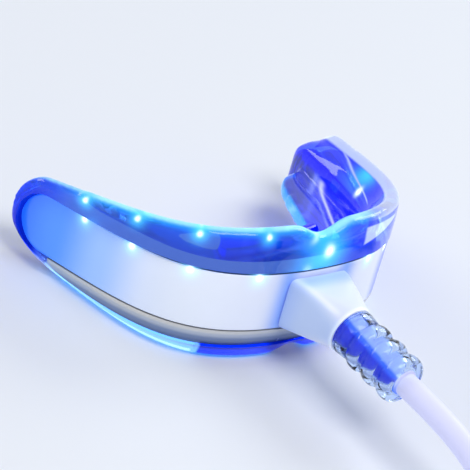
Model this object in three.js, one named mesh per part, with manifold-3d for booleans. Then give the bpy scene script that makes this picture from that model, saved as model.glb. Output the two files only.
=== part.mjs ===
import * as THREE from 'three';
import { mergeVertices } from 'three/addons/utils/BufferGeometryUtils.js';
import Module from 'manifold-3d';

const wasm = await Module();
wasm.setup();

// A wired light mouthpiece: a clear soft tray that stands on its lower rim, a curved light unit that
// sits in a pocket of the tray's front wall, and a cord with a strain relief, a stored coil and a plug.
// Millimetres, +Z up. The front, where the cord leaves, faces -Y and the two arms run toward +Y.

// General fits
const clearance = 0.3;
const cutOverrun = 2;
const roundSegments = 20;
const halfShare = 0.5;
const endSweepShare = 0.92;
const cornerCutShare = 0.3;

// The arch: plan curve of the tray's outer face, its front centre at the origin
const archHalfWidth = 34.2;
const archDepth = 37.9;
const archFrontReachShare = 0.845;
const archArmReachShare = 0.617;
const archArmFlareDegrees = 17;

// The light unit's height, and how far its lower edge stands above the surface it rests over
const bandHeight = 10.4;
const bandLiftFront = 6.4;
const bandLiftTip = 2.4;
const bandEndMargin = 1.8;
const bandTipInset = 1.3;

// The light unit, layer by layer from its white outer face inward
const coverWall = 1.2;
const coverDepth = 2.2;
const lensWall = 0.8;
const unitDepth = 4;
const flangeWall = 1;
const boardThickness = 0.4;
const ledThickness = 0.7;
const ledLength = 2;
const ledHeight = 1.4;
const ledPitch = 10.9;
const ledsPerRow = 9;
const resistorLength = 1.6;
const resistorWidth = 0.8;
const resistorThickness = 0.5;
const driverLength = 3;
const driverWidth = 2.8;
const driverThickness = 0.6;
const chipChamferShare = 0.25;

// The grey bezel strip below the white cover
const bezelDrop = 3.2;
const bezelReachShare = 0.85;
const bezelInset = 0.9;
const bezelWall = 1.2;

// The tray's wall and rim, measured from the light unit's lower edge
const rimHeightFront = 18.1;
const rimHeightTip = 12.7;
const rimInsetFront = 0.5;
const rimInsetTip = -1.1;
const rimThickness = 2.8;
const rimRound = 1.2;
const footInsetFront = 1.5;
const footInsetTip = 3;
const footWidth = 3.4;
const footRound = 0.7;
const trayWall = 5.2;
const upperNotchDepth = 2;
const upperNotchHalfWidth = 6.5;
const lowerNotchDepth = 1.3;
const lowerNotchHalfWidth = 5;
const wallLeanShare = 0.3;
const tipThinShare = 0.35;
const tipThinReach = 4;
const tipPivotInset = 0.9;
const tipTopRound = 5.5;
const tipFootRound = 11;

// The bite plate inside the tray and the low ridge along its front edge
const plateHeight = 4.5;
const plateThickness = 2.5;
const plateFront = 12.7;
const plateFrontReachShare = 0.25;
const plateBendGapShare = 0.406;
const plateBendStartShare = 0.5;
const plateBendReach = 4;
const plateWingGapShare = 0.523;
const plateWingStartShare = 0.739;
const plateWingReach = 2.5;
const plateEndShare = 0.892;
const plateTipLength = 1.8;
const plateEdgeRound = 0.6;
const plateCurveSteps = 8;
const ridgeReachShare = 0.415;
const ridgeInset = 10.5;
const ridgeWall = 2;
const ridgeHeight = 3.6;
const ridgeRound = 1.2;

// The cable neck on the front of the light unit
const neckLength = 9.2;
const neckRise = 0.5;
const neckRootHalfWidth = 6.2;
const neckRootHalfHeight = 4.6;
const neckRootDrop = 0.8;
const neckFlareShape = 1.6;
const neckHeightShape = 1.3;
const neckSquareness = 4;
const neckMouthRadius = 4.3;
const neckMouthBore = 3.8;
const neckMouthDepth = 2.6;
const neckBore = 3.35;
const neckSpigotRadius = 2.1;
const neckSpigotBore = 1.5;
const neckSpigotLength = 1;
const sealMeanRadius = 2.75;
const sealThickness = 0.7;

// The strain relief: a tapered core on the cord inside a clear ribbed boot
const reliefLength = 13.5;
const coreRadiusRear = 3;
const coreRadiusEnd = 2.25;
const coreRearDepth = 4.6;
const crimpLength = 2.4;
const crimpGroove = 0.7;
const collarRadius = 4.1;
const collarSpigotRadius = 3.5;
const ribCount = 3;
const ribPitch = 3.75;
const ribRadius = 4.25;
const ribHalfWidth = 1.35;
const ribValleyRadius = 3.5;
const wireRadius = 0.4;
const wireSpacing = 1.6;

// The cord, its stored coil and the tie round the coil
const cordDiameter = 4;
const cordSides = 8;
const coilSides = 6;
const coilSteps = 24;
const coilTurns = 6.5;
const coilPitch = 4.5;
const coilClimbTurns = 0.5;
const coilSettle = 0.15;
const coilOuterRadius = 29.3;
const tieThickness = 0.5;
const tieWidth = 6;
const tieRound = 2;

// The plug
const plugBodyLength = 20;
const plugBodyWidth = 15;
const plugBodyHeight = 7.8;
const plugBodyRound = 2.4;
const plugBodyChamfer = 0.8;
const plugReliefLength = 9;
const plugReliefRadius = 3;
const plugReliefEndRadius = 2.5;
const plugGrooveDepth = 0.5;
const plugGrooveCount = 3;
const shellWidth = 12;
const shellHeight = 4.5;
const shellWall = 0.4;
const shellLength = 14.5;
const shellSeat = 2.5;
const shellRound = 0.6;
const tongueWidth = 10.4;
const tongueThickness = 1.9;
const tongueLength = 11.5;
const contactCount = 4;
const contactWidth = 1;
const contactThickness = 0.25;
const contactLength = 8;
const contactSeat = 0.1;
const contactPitch = 2.3;
const tailLength = 22;

// Materials
function finish(color, roughness, metalness, opacity = 1) {
  const material = new THREE.MeshStandardMaterial({ color, roughness, metalness });
  if (opacity < 1) {
    material.transparent = true;
    material.opacity = opacity;
  }
  return material;
}

const clearSilicone = finish(0x2f6bff, 0.15, 0, 0.5);
const whiteShell = finish(0xe9eefc, 0.3, 0);
const greyTrim = finish(0xaab2c4, 0.35, 0);
const clearLens = finish(0xcfe6ff, 0.1, 0, 0.4);
const boardGreen = finish(0xf4f6f2, 0.5, 0);
const ledYellow = finish(0x7fd8ff, 0.25, 0);
const blackEpoxy = finish(0x1b1c20, 0.5, 0);
const ceramicGrey = finish(0x3a3c42, 0.55, 0);
const redWire = finish(0xb3202a, 0.45, 0);
const blackWire = finish(0x17181b, 0.45, 0);
const rubberSeal = finish(0x4a4d55, 0.7, 0);
const crimpMetal = finish(0xb9bcc2, 0.35, 1);
const cordJacket = finish(0xe4e4f2, 0.45, 0);
const clearBoot = finish(0xd9e6ff, 0.12, 0, 0.4);
const plugPlastic = finish(0xe6e7f0, 0.4, 0);
const shellSteel = finish(0xc9ccd1, 0.25, 1);
const tonguePlastic = finish(0xf2f2f2, 0.45, 0);
const contactGold = finish(0xd8b45a, 0.3, 1);
const tieRubber = finish(0x24262b, 0.6, 0);

// Solids: closed meshes joined and cut
function toSolid(geometry) {
  const bare = geometry.clone();
  bare.deleteAttribute('normal');
  bare.deleteAttribute('uv');
  const merged = mergeVertices(bare, 1e-4);
  const vertProperties = new Float32Array(merged.attributes.position.array);
  const triVerts = new Uint32Array(merged.index.array);
  return new wasm.Manifold(new wasm.Mesh({ numProp: 3, vertProperties, triVerts }));
}

function toGeometry(solid) {
  const mesh = solid.getMesh();
  const geometry = new THREE.BufferGeometry();
  const positions = new Float32Array(mesh.vertProperties);
  geometry.setAttribute('position', new THREE.BufferAttribute(positions, 3));
  geometry.setIndex(new THREE.BufferAttribute(new Uint32Array(mesh.triVerts), 1));
  geometry.computeVertexNormals();
  return geometry;
}

function cut(body, ...tools) {
  let solid = toSolid(body);
  for (const tool of tools) {
    solid = solid.subtract(toSolid(tool));
  }
  return toGeometry(solid);
}

function join(...bodies) {
  let solid = toSolid(bodies[0]);
  for (const body of bodies.slice(1)) {
    solid = solid.add(toSolid(body));
  }
  return toGeometry(solid);
}

function piece(name, geometry, material) {
  const mesh = new THREE.Mesh(geometry, material);
  mesh.name = name;
  return mesh;
}

// A skin over a row of closed rings, with its two ends filled in after a flat outline
function skin(rings, firstOutline, lastOutline) {
  const count = rings[0].length;
  const positions = [];
  const faces = [];
  for (const ring of rings) {
    for (const point of ring) {
      positions.push(point.x, point.y, point.z);
    }
  }
  for (let row = 0; row + 1 < rings.length; row += 1) {
    for (let k = 0; k < count; k += 1) {
      const a = row * count + k;
      const b = row * count + (k + 1) % count;
      faces.push(a, b, b + count, a, b + count, a + count);
    }
  }
  for (const [a, b, c] of THREE.ShapeUtils.triangulateShape(firstOutline, [])) {
    faces.push(c, b, a);
  }
  const last = (rings.length - 1) * count;
  for (const [a, b, c] of THREE.ShapeUtils.triangulateShape(lastOutline, [])) {
    faces.push(last + a, last + b, last + c);
  }
  if (volumeOf(positions, faces) < 0) {
    for (let k = 0; k < faces.length; k += 3) {
      const first = faces[k];
      faces[k] = faces[k + 1];
      faces[k + 1] = first;
    }
  }
  const geometry = new THREE.BufferGeometry();
  geometry.setAttribute('position', new THREE.Float32BufferAttribute(positions, 3));
  geometry.setIndex(faces);
  geometry.computeVertexNormals();
  return geometry;
}

function volumeOf(positions, faces) {
  let volume = 0;
  for (let k = 0; k < faces.length; k += 3) {
    const [a, b, c] = faces.slice(k, k + 3).map((at) => new THREE.Vector3().fromArray(positions, 3 * at));
    volume += a.dot(b.cross(c));
  }
  return volume;
}

// The arch, followed by its signed length from the front centre, positive on the +X arm
const archFrontReach = archHalfWidth * archFrontReachShare;
const archArmReach = archDepth * archArmReachShare;
const flare = THREE.MathUtils.degToRad(archArmFlareDegrees);
const archCurve = new THREE.CubicBezierCurve(
  new THREE.Vector2(0, 0),
  new THREE.Vector2(archFrontReach, 0),
  new THREE.Vector2(archHalfWidth - archArmReach * Math.sin(flare), archDepth - archArmReach * Math.cos(flare)),
  new THREE.Vector2(archHalfWidth, archDepth),
);
archCurve.arcLengthDivisions = 400;
const archLength = archCurve.getLength();

function archFrame(arc) {
  const share = Math.min(Math.abs(arc) / archLength, 1);
  const side = arc < 0 ? -1 : 1;
  const point = archCurve.getPointAt(share);
  const tangent = archCurve.getTangentAt(share);
  return {
    x: side * point.x,
    y: point.y,
    inwardX: -side * tangent.y,
    inwardY: tangent.x,
    depthShare: point.y / archDepth,
  };
}

function archPoint(arc, inset, height) {
  const at = archFrame(arc);
  return new THREE.Vector3(at.x + at.inwardX * inset, at.y + at.inwardY * inset, height);
}

// Stations along the arch from tip to tip, closer together toward ends of the given roundness
function stationsTo(end, round, middleCount, endCount) {
  const half = [];
  const straight = end - round;
  for (let k = 0; k <= middleCount; k += 1) {
    half.push(straight * k / middleCount);
  }
  for (let k = 1; k <= endCount; k += 1) {
    half.push(straight + round * Math.sin(endSweepShare * Math.PI / 2 * k / endCount));
  }
  return [...half.slice(1).reverse().map((arc) => -arc), ...half];
}

function roundedShare(arc, end, round) {
  const past = Math.max(Math.abs(arc) - (end - round), 0) / round;
  return Math.sqrt(Math.max(1 - past * past, 0));
}

// The light unit's frame leans with its band: its lower edge is level there, lower at the tips
const bandTilt = Math.asin((bandLiftFront - bandLiftTip) / archDepth);
const bandFrame = new THREE.Group();
bandFrame.rotation.x = -bandTilt;
bandFrame.position.z = bandLiftFront;
bandFrame.updateMatrix();
const bandEnd = archLength - bandEndMargin;
const bezelHalfLength = archLength * bezelReachShare;
const bandMiddle = bandHeight / 2;
const bandStations = { middle: 22, end: 6 };

// A curved plate of the band with round ends, between two insets, grown on all edges
function bandBody(outer, inner, grow) {
  const round = bandMiddle + grow;
  const stations = stationsTo(bandEnd + grow, round, bandStations.middle, bandStations.end);
  const outlines = stations.map((arc) => {
    const half = round * roundedShare(arc, bandEnd + grow, round);
    const settle = bandTipInset * archFrame(arc).depthShare;
    return [
      new THREE.Vector2(outer + settle, bandMiddle - half),
      new THREE.Vector2(inner + settle, bandMiddle - half),
      new THREE.Vector2(inner + settle, bandMiddle + half),
      new THREE.Vector2(outer + settle, bandMiddle + half),
    ];
  });
  return alongArch(stations, outlines);
}

function alongArch(stations, outlines) {
  const rings = outlines.map((outline, k) => outline.map((at) => archPoint(stations[k], at.x, at.y)));
  return skin(rings, outlines[0], outlines[outlines.length - 1]);
}

// The crescent of the bezel below the band, deepest at the front and run out toward the tips
function bezelBody(outer, grow) {
  const count = 36;
  const stations = [];
  for (let k = 0; k <= count; k += 1) {
    stations.push(bezelHalfLength * (2 * k / count - 1));
  }
  const least = clearance + bezelWall / 2;
  const outlines = stations.map((arc) => {
    const along = arc / bezelHalfLength;
    const drop = least + (bezelDrop - least) * Math.sqrt(Math.max(1 - along ** 4, 0));
    const settle = bandTipInset * archFrame(arc).depthShare;
    const lean = bezelInset * drop / bezelDrop;
    return [
      new THREE.Vector2(settle + lean - outer, -drop - grow),
      new THREE.Vector2(settle + lean + bezelWall + grow, -drop - grow),
      new THREE.Vector2(settle + bezelWall + grow, grow - clearance),
      new THREE.Vector2(settle - outer, grow - clearance),
    ];
  });
  return alongArch(stations, outlines);
}

function cylinderAlongY(radius, from, to, x, z) {
  const tube = new THREE.CylinderGeometry(radius, radius, to - from, roundSegments);
  tube.translate(x, (from + to) / 2, z);
  return tube;
}

// The neck's axis is level, at the middle of the band's front
const neckHeight = bandLiftFront + bandMiddle * Math.cos(bandTilt) + neckRise;
const toBandFrame = bandFrame.matrix.clone().invert();

function frontHole(radius) {
  const tool = cylinderAlongY(radius, -neckLength, coverWall + clearance * 2, 0, neckHeight);
  return tool.applyMatrix4(toBandFrame);
}

function makeFrontCover() {
  const outside = bandBody(0, coverDepth, 0);
  const inside = bandBody(coverWall, coverDepth + cutOverrun, -flangeWall);
  return cut(outside, inside, frontHole(neckSpigotRadius + clearance));
}

function makeLensWindow() {
  const outside = bandBody(coverDepth + clearance, unitDepth, 0);
  const inside = bandBody(coverDepth - cutOverrun, unitDepth - lensWall, -flangeWall);
  return cut(outside, inside);
}

const boardInset = coverWall + clearance;
const boardFace = boardInset + boardThickness;

function makeLedBoard() {
  return bandBody(boardInset, boardFace, -flangeWall - clearance);
}

// Electronic parts sit on the board's inner face, square to it
function onBoard(name, material, arc, height, length, width, thickness) {
  const at = archFrame(arc);
  const settle = bandTipInset * at.depthShare;
  const chamfer = thickness * chipChamferShare;
  const block = new THREE.Shape([
    new THREE.Vector2(-length / 2 + chamfer, -width / 2 + chamfer),
    new THREE.Vector2(length / 2 - chamfer, -width / 2 + chamfer),
    new THREE.Vector2(length / 2 - chamfer, width / 2 - chamfer),
    new THREE.Vector2(-length / 2 + chamfer, width / 2 - chamfer),
  ]);
  const geometry = new THREE.ExtrudeGeometry(block, {
    depth: thickness - chamfer * 2,
    bevelEnabled: true,
    bevelThickness: chamfer,
    bevelSize: chamfer,
    bevelSegments: 1,
  });
  geometry.translate(0, 0, chamfer);
  geometry.rotateX(-Math.PI / 2);
  const mesh = piece(name, geometry, material);
  mesh.position.copy(archPoint(arc, boardFace + settle + clearance, height));
  mesh.rotation.z = Math.atan2(at.inwardY, at.inwardX) - Math.PI / 2;
  return mesh;
}

function makeElectronics() {
  const parts = [];
  const edge = flangeWall + clearance + ledHeight / 2 + clearance;
  for (let k = 0; k < ledsPerRow; k += 1) {
    const arc = ledPitch * (k - (ledsPerRow - 1) / 2);
    for (const [row, height] of [['upper', bandHeight - edge], ['lower', edge]]) {
      const name = `led_${row}_${k + 1}`;
      parts.push(onBoard(name, ledYellow, arc, height, ledLength, ledHeight, ledThickness));
    }
  }
  const besideDriver = driverLength / 2 + resistorLength;
  parts.push(onBoard('driver_chip', blackEpoxy, ledPitch / 2, bandMiddle, driverLength, driverWidth, driverThickness));
  for (const side of [-1, 1]) {
    const arc = ledPitch / 2 + side * (besideDriver + clearance);
    const name = side < 0 ? 'resistor_1' : 'resistor_2';
    parts.push(onBoard(name, ceramicGrey, arc, bandMiddle, resistorLength, resistorWidth, resistorThickness));
  }
  return parts;
}

// The tray's wall, standing on a level foot; its ends are round from the side and in plan
function floorInBand(y) {
  return y * Math.tan(bandTilt) - bandLiftFront / Math.cos(bandTilt);
}

function notch(arc, depth, halfWidth) {
  const along = Math.min(Math.abs(arc) / halfWidth, 1);
  return depth * halfShare * (1 + Math.cos(Math.PI * along));
}

function trayOutline(arc) {
  const at = archFrame(arc);
  const full = rimHeightFront + (rimHeightTip - rimHeightFront) * at.depthShare;
  const shrinkTop = roundedShare(arc, archLength, tipTopRound);
  const shrinkFoot = roundedShare(arc, archLength, tipFootRound);
  const thin = tipThinShare + (1 - tipThinShare) * roundedShare(arc, archLength, tipThinReach);
  const settled = (inset) => tipPivotInset + (inset - tipPivotInset) * thin;
  const floor = floorInBand(at.y);
  const centre = (full + floor) / 2;
  const place = (height) => centre + (height - centre) * (height > centre ? shrinkTop : shrinkFoot);
  const underside = (inset) => {
    const ground = place(floorInBand(at.y + at.inwardY * settled(inset)));
    return ground + notch(arc, lowerNotchDepth, lowerNotchHalfWidth);
  };
  const top = place(full) - notch(arc, upperNotchDepth, upperNotchHalfWidth);
  const rimInset = rimInsetFront + (rimInsetTip - rimInsetFront) * at.depthShare;
  const footInset = footInsetFront + (footInsetTip - footInsetFront) * at.depthShare;
  const footInner = footInset + footWidth;
  const edge = rimRound * shrinkTop;
  const heel = footRound * shrinkFoot;
  const inner = trayWall + bandTipInset * at.depthShare;
  const upper = place((bandHeight + full) / 2);
  const lower = place(floor / 2);
  const points = [
    [footInset + footRound, underside(footInset + footRound)],
    [footInner - footRound, underside(footInner - footRound)],
    [footInner, underside(footInner) + heel],
    [inner, lower],
    [inner, place(plateHeight)],
    [inner, place(bandHeight)],
    [(inner + rimInset + rimThickness) / 2, upper],
    [rimInset + rimThickness, top - edge],
    [rimInset + rimThickness - rimRound * cornerCutShare, top - edge * cornerCutShare],
    [rimInset + rimThickness - rimRound, top],
    [rimInset + rimRound, top],
    [rimInset + rimRound * cornerCutShare, top - edge * cornerCutShare],
    [rimInset, top - edge],
    [rimInset * wallLeanShare, upper],
    [0, place(bandHeight)],
    [0, place(0)],
    [footInset * wallLeanShare, lower],
    [footInset, underside(footInset) + heel],
  ];
  return points.map(([inset, height]) => new THREE.Vector2(settled(inset), height));
}

function makeTrayWall() {
  const stations = stationsTo(archLength, tipFootRound, 24, 10);
  return alongArch(stations, stations.map(trayOutline));
}

// The arc at which the arch, moved inward by an inset, reaches a depth
function arcAtDepth(inset, depth) {
  let low = 0;
  let high = archLength;
  while (high - low > clearance / roundSegments) {
    const middle = (low + high) / 2;
    if (archPoint(middle, inset, 0).y < depth) {
      low = middle;
    } else {
      high = middle;
    }
  }
  return low;
}

function plateShape() {
  const shape = new THREE.Shape();
  const reach = trayWall - rimThickness / 2;
  const plateEnd = archDepth * plateEndShare;
  const wingStart = archDepth * plateWingStartShare;
  const bendStart = archDepth * plateBendStartShare;
  const wingHalfGap = archHalfWidth * plateWingGapShare;
  const bendHalfGap = archHalfWidth * plateBendGapShare;
  const outer = [];
  const count = 24;
  const endArc = arcAtDepth(reach, plateEnd);
  for (let k = -count; k <= count; k += 1) {
    const at = archPoint(endArc * k / count, reach, 0);
    outer.push(new THREE.Vector2(at.x, at.y));
  }
  shape.moveTo(outer[0].x, outer[0].y);
  for (const at of outer.slice(1)) {
    shape.lineTo(at.x, at.y);
  }
  const tongue = new THREE.Path();
  const frontReach = archHalfWidth * plateFrontReachShare;
  const bend = bendStart - plateBendReach;
  tongue.moveTo(outer[outer.length - 1].x - plateTipLength, plateEnd);
  tongue.quadraticCurveTo(wingHalfGap + plateWingReach, plateEnd, wingHalfGap, wingStart);
  tongue.lineTo(bendHalfGap, bendStart);
  tongue.bezierCurveTo(bendHalfGap - plateWingReach / 2, bend, frontReach, plateFront, 0, plateFront);
  const right = tongue.getPoints(plateCurveSteps);
  const left = right.slice(0, -1).reverse().map((at) => new THREE.Vector2(-at.x, at.y));
  for (const at of [...right, ...left]) {
    shape.lineTo(at.x, at.y);
  }
  return shape;
}

function makeBitePlate() {
  const plate = new THREE.ExtrudeGeometry(plateShape(), {
    depth: plateThickness - plateEdgeRound * 2,
    bevelEnabled: true,
    bevelThickness: plateEdgeRound,
    bevelSize: plateEdgeRound,
    bevelOffset: -plateEdgeRound,
    bevelSegments: 1,
    curveSegments: 10,
  });
  plate.translate(0, 0, plateHeight + plateEdgeRound);
  return plate;
}

function roundedRect(width, height, round) {
  const shape = new THREE.Shape();
  const w = width / 2;
  const h = height / 2;
  shape.moveTo(-w + round, -h);
  shape.lineTo(w - round, -h);
  shape.absarc(w - round, -h + round, round, -Math.PI / 2, 0);
  shape.lineTo(w, h - round);
  shape.absarc(w - round, h - round, round, 0, Math.PI / 2);
  shape.lineTo(-w + round, h);
  shape.absarc(-w + round, h - round, round, Math.PI / 2, Math.PI);
  shape.lineTo(-w, -h + round);
  shape.absarc(-w + round, -h + round, round, Math.PI, 1.5 * Math.PI);
  return shape;
}

// A bar of a flat shape drawn across, its length along Y from zero
function barAlongY(shape, length, chamfer, curveSegments) {
  const bar = new THREE.ExtrudeGeometry(shape, {
    depth: length - chamfer * 2,
    bevelEnabled: chamfer > 0,
    bevelThickness: chamfer,
    bevelSize: chamfer,
    bevelOffset: -chamfer,
    bevelSegments: 1,
    curveSegments,
  });
  bar.translate(0, 0, chamfer);
  bar.rotateX(-Math.PI / 2);
  return bar;
}

// The ridge follows the arch over the plate's front edge; its ends are round
function makeRidge() {
  const halfLength = archHalfWidth * ridgeReachShare;
  const bottom = plateHeight + plateThickness / 2;
  const top = plateHeight + plateThickness + ridgeHeight;
  const stations = stationsTo(halfLength, ridgeWall, 8, 4);
  const outlines = stations.map((arc) => {
    const height = top - ridgeHeight * (1 - roundedShare(arc, halfLength, ridgeWall));
    const edge = ridgeRound * roundedShare(arc, halfLength, ridgeWall) / 2;
    return [
      new THREE.Vector2(ridgeInset, bottom),
      new THREE.Vector2(ridgeInset + ridgeWall, bottom),
      new THREE.Vector2(ridgeInset + ridgeWall, height - edge),
      new THREE.Vector2(ridgeInset + ridgeWall - ridgeRound / 2, height),
      new THREE.Vector2(ridgeInset + ridgeRound / 2, height),
      new THREE.Vector2(ridgeInset, height - edge),
    ];
  });
  return alongArch(stations, outlines);
}

function makeTray() {
  const body = join(makeTrayWall(), makeBitePlate(), makeRidge());
  const pocket = bandBody(-cutOverrun, unitDepth + clearance, clearance);
  const bezelPocket = bezelBody(cutOverrun, clearance);
  return cut(body, pocket, bezelPocket);
}

// The neck: a horn from a square root on the cover to a round mouth, with a spigot through the cover
function neckOutline(share) {
  const open = 1 - share;
  const halfWidth = neckMouthRadius + (neckRootHalfWidth - neckMouthRadius) * open ** neckFlareShape;
  const halfHeight = neckMouthRadius + (neckRootHalfHeight - neckMouthRadius) * open ** neckHeightShape;
  const drop = neckRootDrop * open ** neckHeightShape;
  const power = 1 / (1 + neckSquareness * open ** neckFlareShape);
  const points = [];
  const count = 28;
  for (let k = 0; k < count; k += 1) {
    const angle = 2 * Math.PI * (k + halfShare) / count;
    const c = Math.cos(angle);
    const s = Math.sin(angle);
    const x = halfWidth * Math.sign(c) * Math.abs(c) ** power;
    const z = halfHeight * Math.sign(s) * Math.abs(s) ** power;
    points.push(new THREE.Vector2(x, z - drop));
  }
  return points;
}

function makeNeck() {
  const count = 8;
  const rings = [];
  const outlines = [];
  const rootDepth = unitDepth / 2;
  for (let k = 0; k <= count; k += 1) {
    const outline = neckOutline(k / count);
    outlines.push(outline);
    rings.push(outline.map((at) => new THREE.Vector3(at.x, -neckLength * k / count, neckHeight + at.y)));
  }
  const rootRing = outlines[0].map((at) => new THREE.Vector3(at.x, rootDepth, neckHeight + at.y));
  const horn = skin([rootRing, ...rings], outlines[0], outlines[count]);
  const seat = bandBody(-clearance, unitDepth + cutOverrun, cutOverrun).applyMatrix4(bandFrame.matrix);
  const sealSeat = sealMeanRadius + sealThickness / 2 + clearance;
  const root = cut(horn, seat, cylinderAlongY(sealSeat, sealFront - clearance, cutOverrun, 0, neckHeight));
  const spigotStart = sealFront - clearance * 2 - sealThickness;
  const spigot = cylinderAlongY(neckSpigotRadius, spigotStart, spigotEnd, 0, neckHeight);
  return cut(
    join(root, spigot),
    cylinderAlongY(neckSpigotBore, -neckLength, cutOverrun, 0, neckHeight),
    cylinderAlongY(neckBore, -neckLength - cutOverrun, coreRear + clearance, 0, neckHeight),
    cylinderAlongY(neckMouthBore, -neckLength - cutOverrun, neckMouthDepth - neckLength, 0, neckHeight),
  );
}

// Places along the neck's axis
const coverFront = bandMiddle * Math.sin(bandTilt);
const spigotEnd = coverFront + coverWall - clearance;
const sealFront = -sealThickness - clearance;
const coreRear = -neckLength + coreRearDepth;
const reliefEnd = -neckLength - reliefLength;

function latheAlongY(profile, x, z) {
  const geometry = new THREE.LatheGeometry(profile.map(([r, y]) => new THREE.Vector2(r, y)), roundSegments);
  geometry.translate(x, 0, z);
  return geometry;
}

function makeSeal() {
  const half = sealThickness / 2;
  const middle = sealFront + half;
  const profile = [];
  const sides = 8;
  for (let k = 0; k <= sides; k += 1) {
    const angle = 2 * Math.PI * (k % sides) / sides;
    profile.push([sealMeanRadius + half * Math.cos(angle), middle + half * Math.sin(angle)]);
  }
  return latheAlongY(profile, 0, neckHeight);
}

function coreRadius(y) {
  const share = THREE.MathUtils.clamp((-neckLength - y) / reliefLength, 0, 1);
  return coreRadiusRear + (coreRadiusEnd - coreRadiusRear) * share;
}

function makeStrainCore() {
  const groove = coreRadiusRear - crimpGroove - clearance;
  const profile = [
    [0, reliefEnd],
    [coreRadius(reliefEnd), reliefEnd],
    [coreRadius(-neckLength), -neckLength],
    [coreRadiusRear, coreRear - crimpLength - clearance],
    [groove, coreRear - crimpLength - clearance],
    [groove, coreRear],
    [0, coreRear],
  ];
  return latheAlongY(profile, 0, neckHeight);
}

function makeCrimp() {
  const inner = coreRadiusRear - crimpGroove;
  const profile = [
    [inner, coreRear - crimpLength],
    [coreRadiusRear, coreRear - crimpLength],
    [coreRadiusRear, coreRear],
    [inner, coreRear],
    [inner, coreRear - crimpLength],
  ];
  return latheAlongY(profile, 0, neckHeight);
}

// The boot: a collar inside the neck's mouth, then round ribs with narrow valleys between them
function makeBoot() {
  const rear = neckMouthDepth - clearance - neckLength;
  const profile = [];
  const lastRib = reliefEnd + ribHalfWidth;
  const firstRib = lastRib + ribPitch * (ribCount - 1);
  profile.push([collarSpigotRadius, rear]);
  profile.push([collarSpigotRadius, -neckLength - clearance]);
  profile.push([collarRadius, -neckLength - clearance]);
  profile.push([ribValleyRadius + clearance, firstRib + ribHalfWidth + clearance]);
  const arcSteps = 6;
  for (let rib = 0; rib < ribCount; rib += 1) {
    const middle = firstRib - ribPitch * rib;
    for (let k = 0; k <= arcSteps; k += 1) {
      const angle = Math.PI * k / arcSteps;
      const r = ribValleyRadius + (ribRadius - ribValleyRadius) * Math.sin(angle);
      profile.push([r, middle + ribHalfWidth * Math.cos(angle)]);
    }
  }
  profile.push([coreRadius(reliefEnd) + clearance, reliefEnd]);
  profile.push([coreRadius(-neckLength) + clearance, -neckLength]);
  profile.push([coreRadiusRear + clearance, rear]);
  profile.push([collarSpigotRadius, rear]);
  return latheAlongY(profile.reverse(), 0, neckHeight);
}

function tubeAlong(points, radius, sides, steps) {
  const section = new THREE.Shape();
  for (let k = 0; k < sides; k += 1) {
    const angle = 2 * Math.PI * k / sides;
    const x = radius * Math.cos(angle);
    const y = radius * Math.sin(angle);
    if (k === 0) {
      section.moveTo(x, y);
    } else {
      section.lineTo(x, y);
    }
  }
  const extrudePath = new THREE.CatmullRomCurve3(points);
  return new THREE.ExtrudeGeometry(section, { extrudePath, steps });
}

function makeWire(side) {
  const x = side * wireSpacing / 2;
  const from = coreRear + clearance;
  const to = coverFront + coverWall;
  const sag = clearance;
  const points = [
    new THREE.Vector3(x, from, neckHeight),
    new THREE.Vector3(x, from + (to - from) / 3, neckHeight - sag),
    new THREE.Vector3(x, from + (to - from) * 2 / 3, neckHeight - sag),
    new THREE.Vector3(x, to, neckHeight),
  ];
  return tubeAlong(points, wireRadius, 6, 6);
}

// The cord's free stretch: forward distance from the relief and height above the surface
const cordRadius = cordDiameter / 2;
const coilBase = tieThickness + clearance + coilSettle + cordRadius;
const cordRoute = [
  [0, 12.07], [4, 12.05], [8, 11.95], [12, 11.65], [16, 11.0], [20, 9.9], [24, 8.35],
  [28, 6.7], [32, 5.2], [36, 4.05], [40, 3.25], [44, 2.97], [48, 2.95],
];
const routeStart = reliefEnd - clearance;
const routeEnd = routeStart - cordRoute[cordRoute.length - 1][0];

function makeCordStretch() {
  const points = cordRoute.map(([forward, height]) => new THREE.Vector3(0, routeStart - forward, height));
  return tubeAlong(points, cordRadius, cordSides, 20);
}

// The stored coil: one spiral in on the surface, a climb in the half turn where it reverses, one out
const coilCentre = new THREE.Vector2(coilOuterRadius, routeEnd - clearance - cordDiameter);

function coilPoint(turn) {
  const middle = coilTurns / 2;
  const radius = coilOuterRadius - coilPitch * (middle - Math.abs(turn - middle));
  const climb = THREE.MathUtils.smoothstep(turn, middle - coilClimbTurns / 2, middle + coilClimbTurns / 2);
  const angle = Math.PI + 2 * Math.PI * turn;
  return new THREE.Vector3(
    coilCentre.x + radius * Math.cos(angle),
    coilCentre.y + radius * Math.sin(angle),
    coilBase + coilPitch * climb,
  );
}

function coilPath() {
  const points = [];
  const count = Math.round(coilTurns * coilSteps);
  const first = coilPoint(0);
  const last = coilPoint(coilTurns);
  points.push(new THREE.Vector3(first.x, first.y + cordDiameter, first.z));
  for (let k = 0; k <= count; k += 1) {
    points.push(coilPoint(coilTurns * k / count));
  }
  points.push(new THREE.Vector3(last.x, last.y + cordDiameter, last.z));
  return points;
}

function coilRings() {
  const path = coilPath();
  return path.map((at, k) => {
    const before = path[Math.max(k - 1, 0)];
    const after = path[Math.min(k + 1, path.length - 1)];
    const along = after.clone().sub(before).normalize();
    const across = new THREE.Vector3(0, 0, 1).cross(along).normalize();
    const up = along.clone().cross(across);
    const ring = [];
    for (let side = 0; side < coilSides; side += 1) {
      const angle = 2 * Math.PI * (side + halfShare) / coilSides;
      const point = at.clone();
      point.addScaledVector(across, cordRadius * Math.cos(angle));
      point.addScaledVector(up, cordRadius * Math.sin(angle));
      ring.push(point);
    }
    return ring;
  });
}

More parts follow.
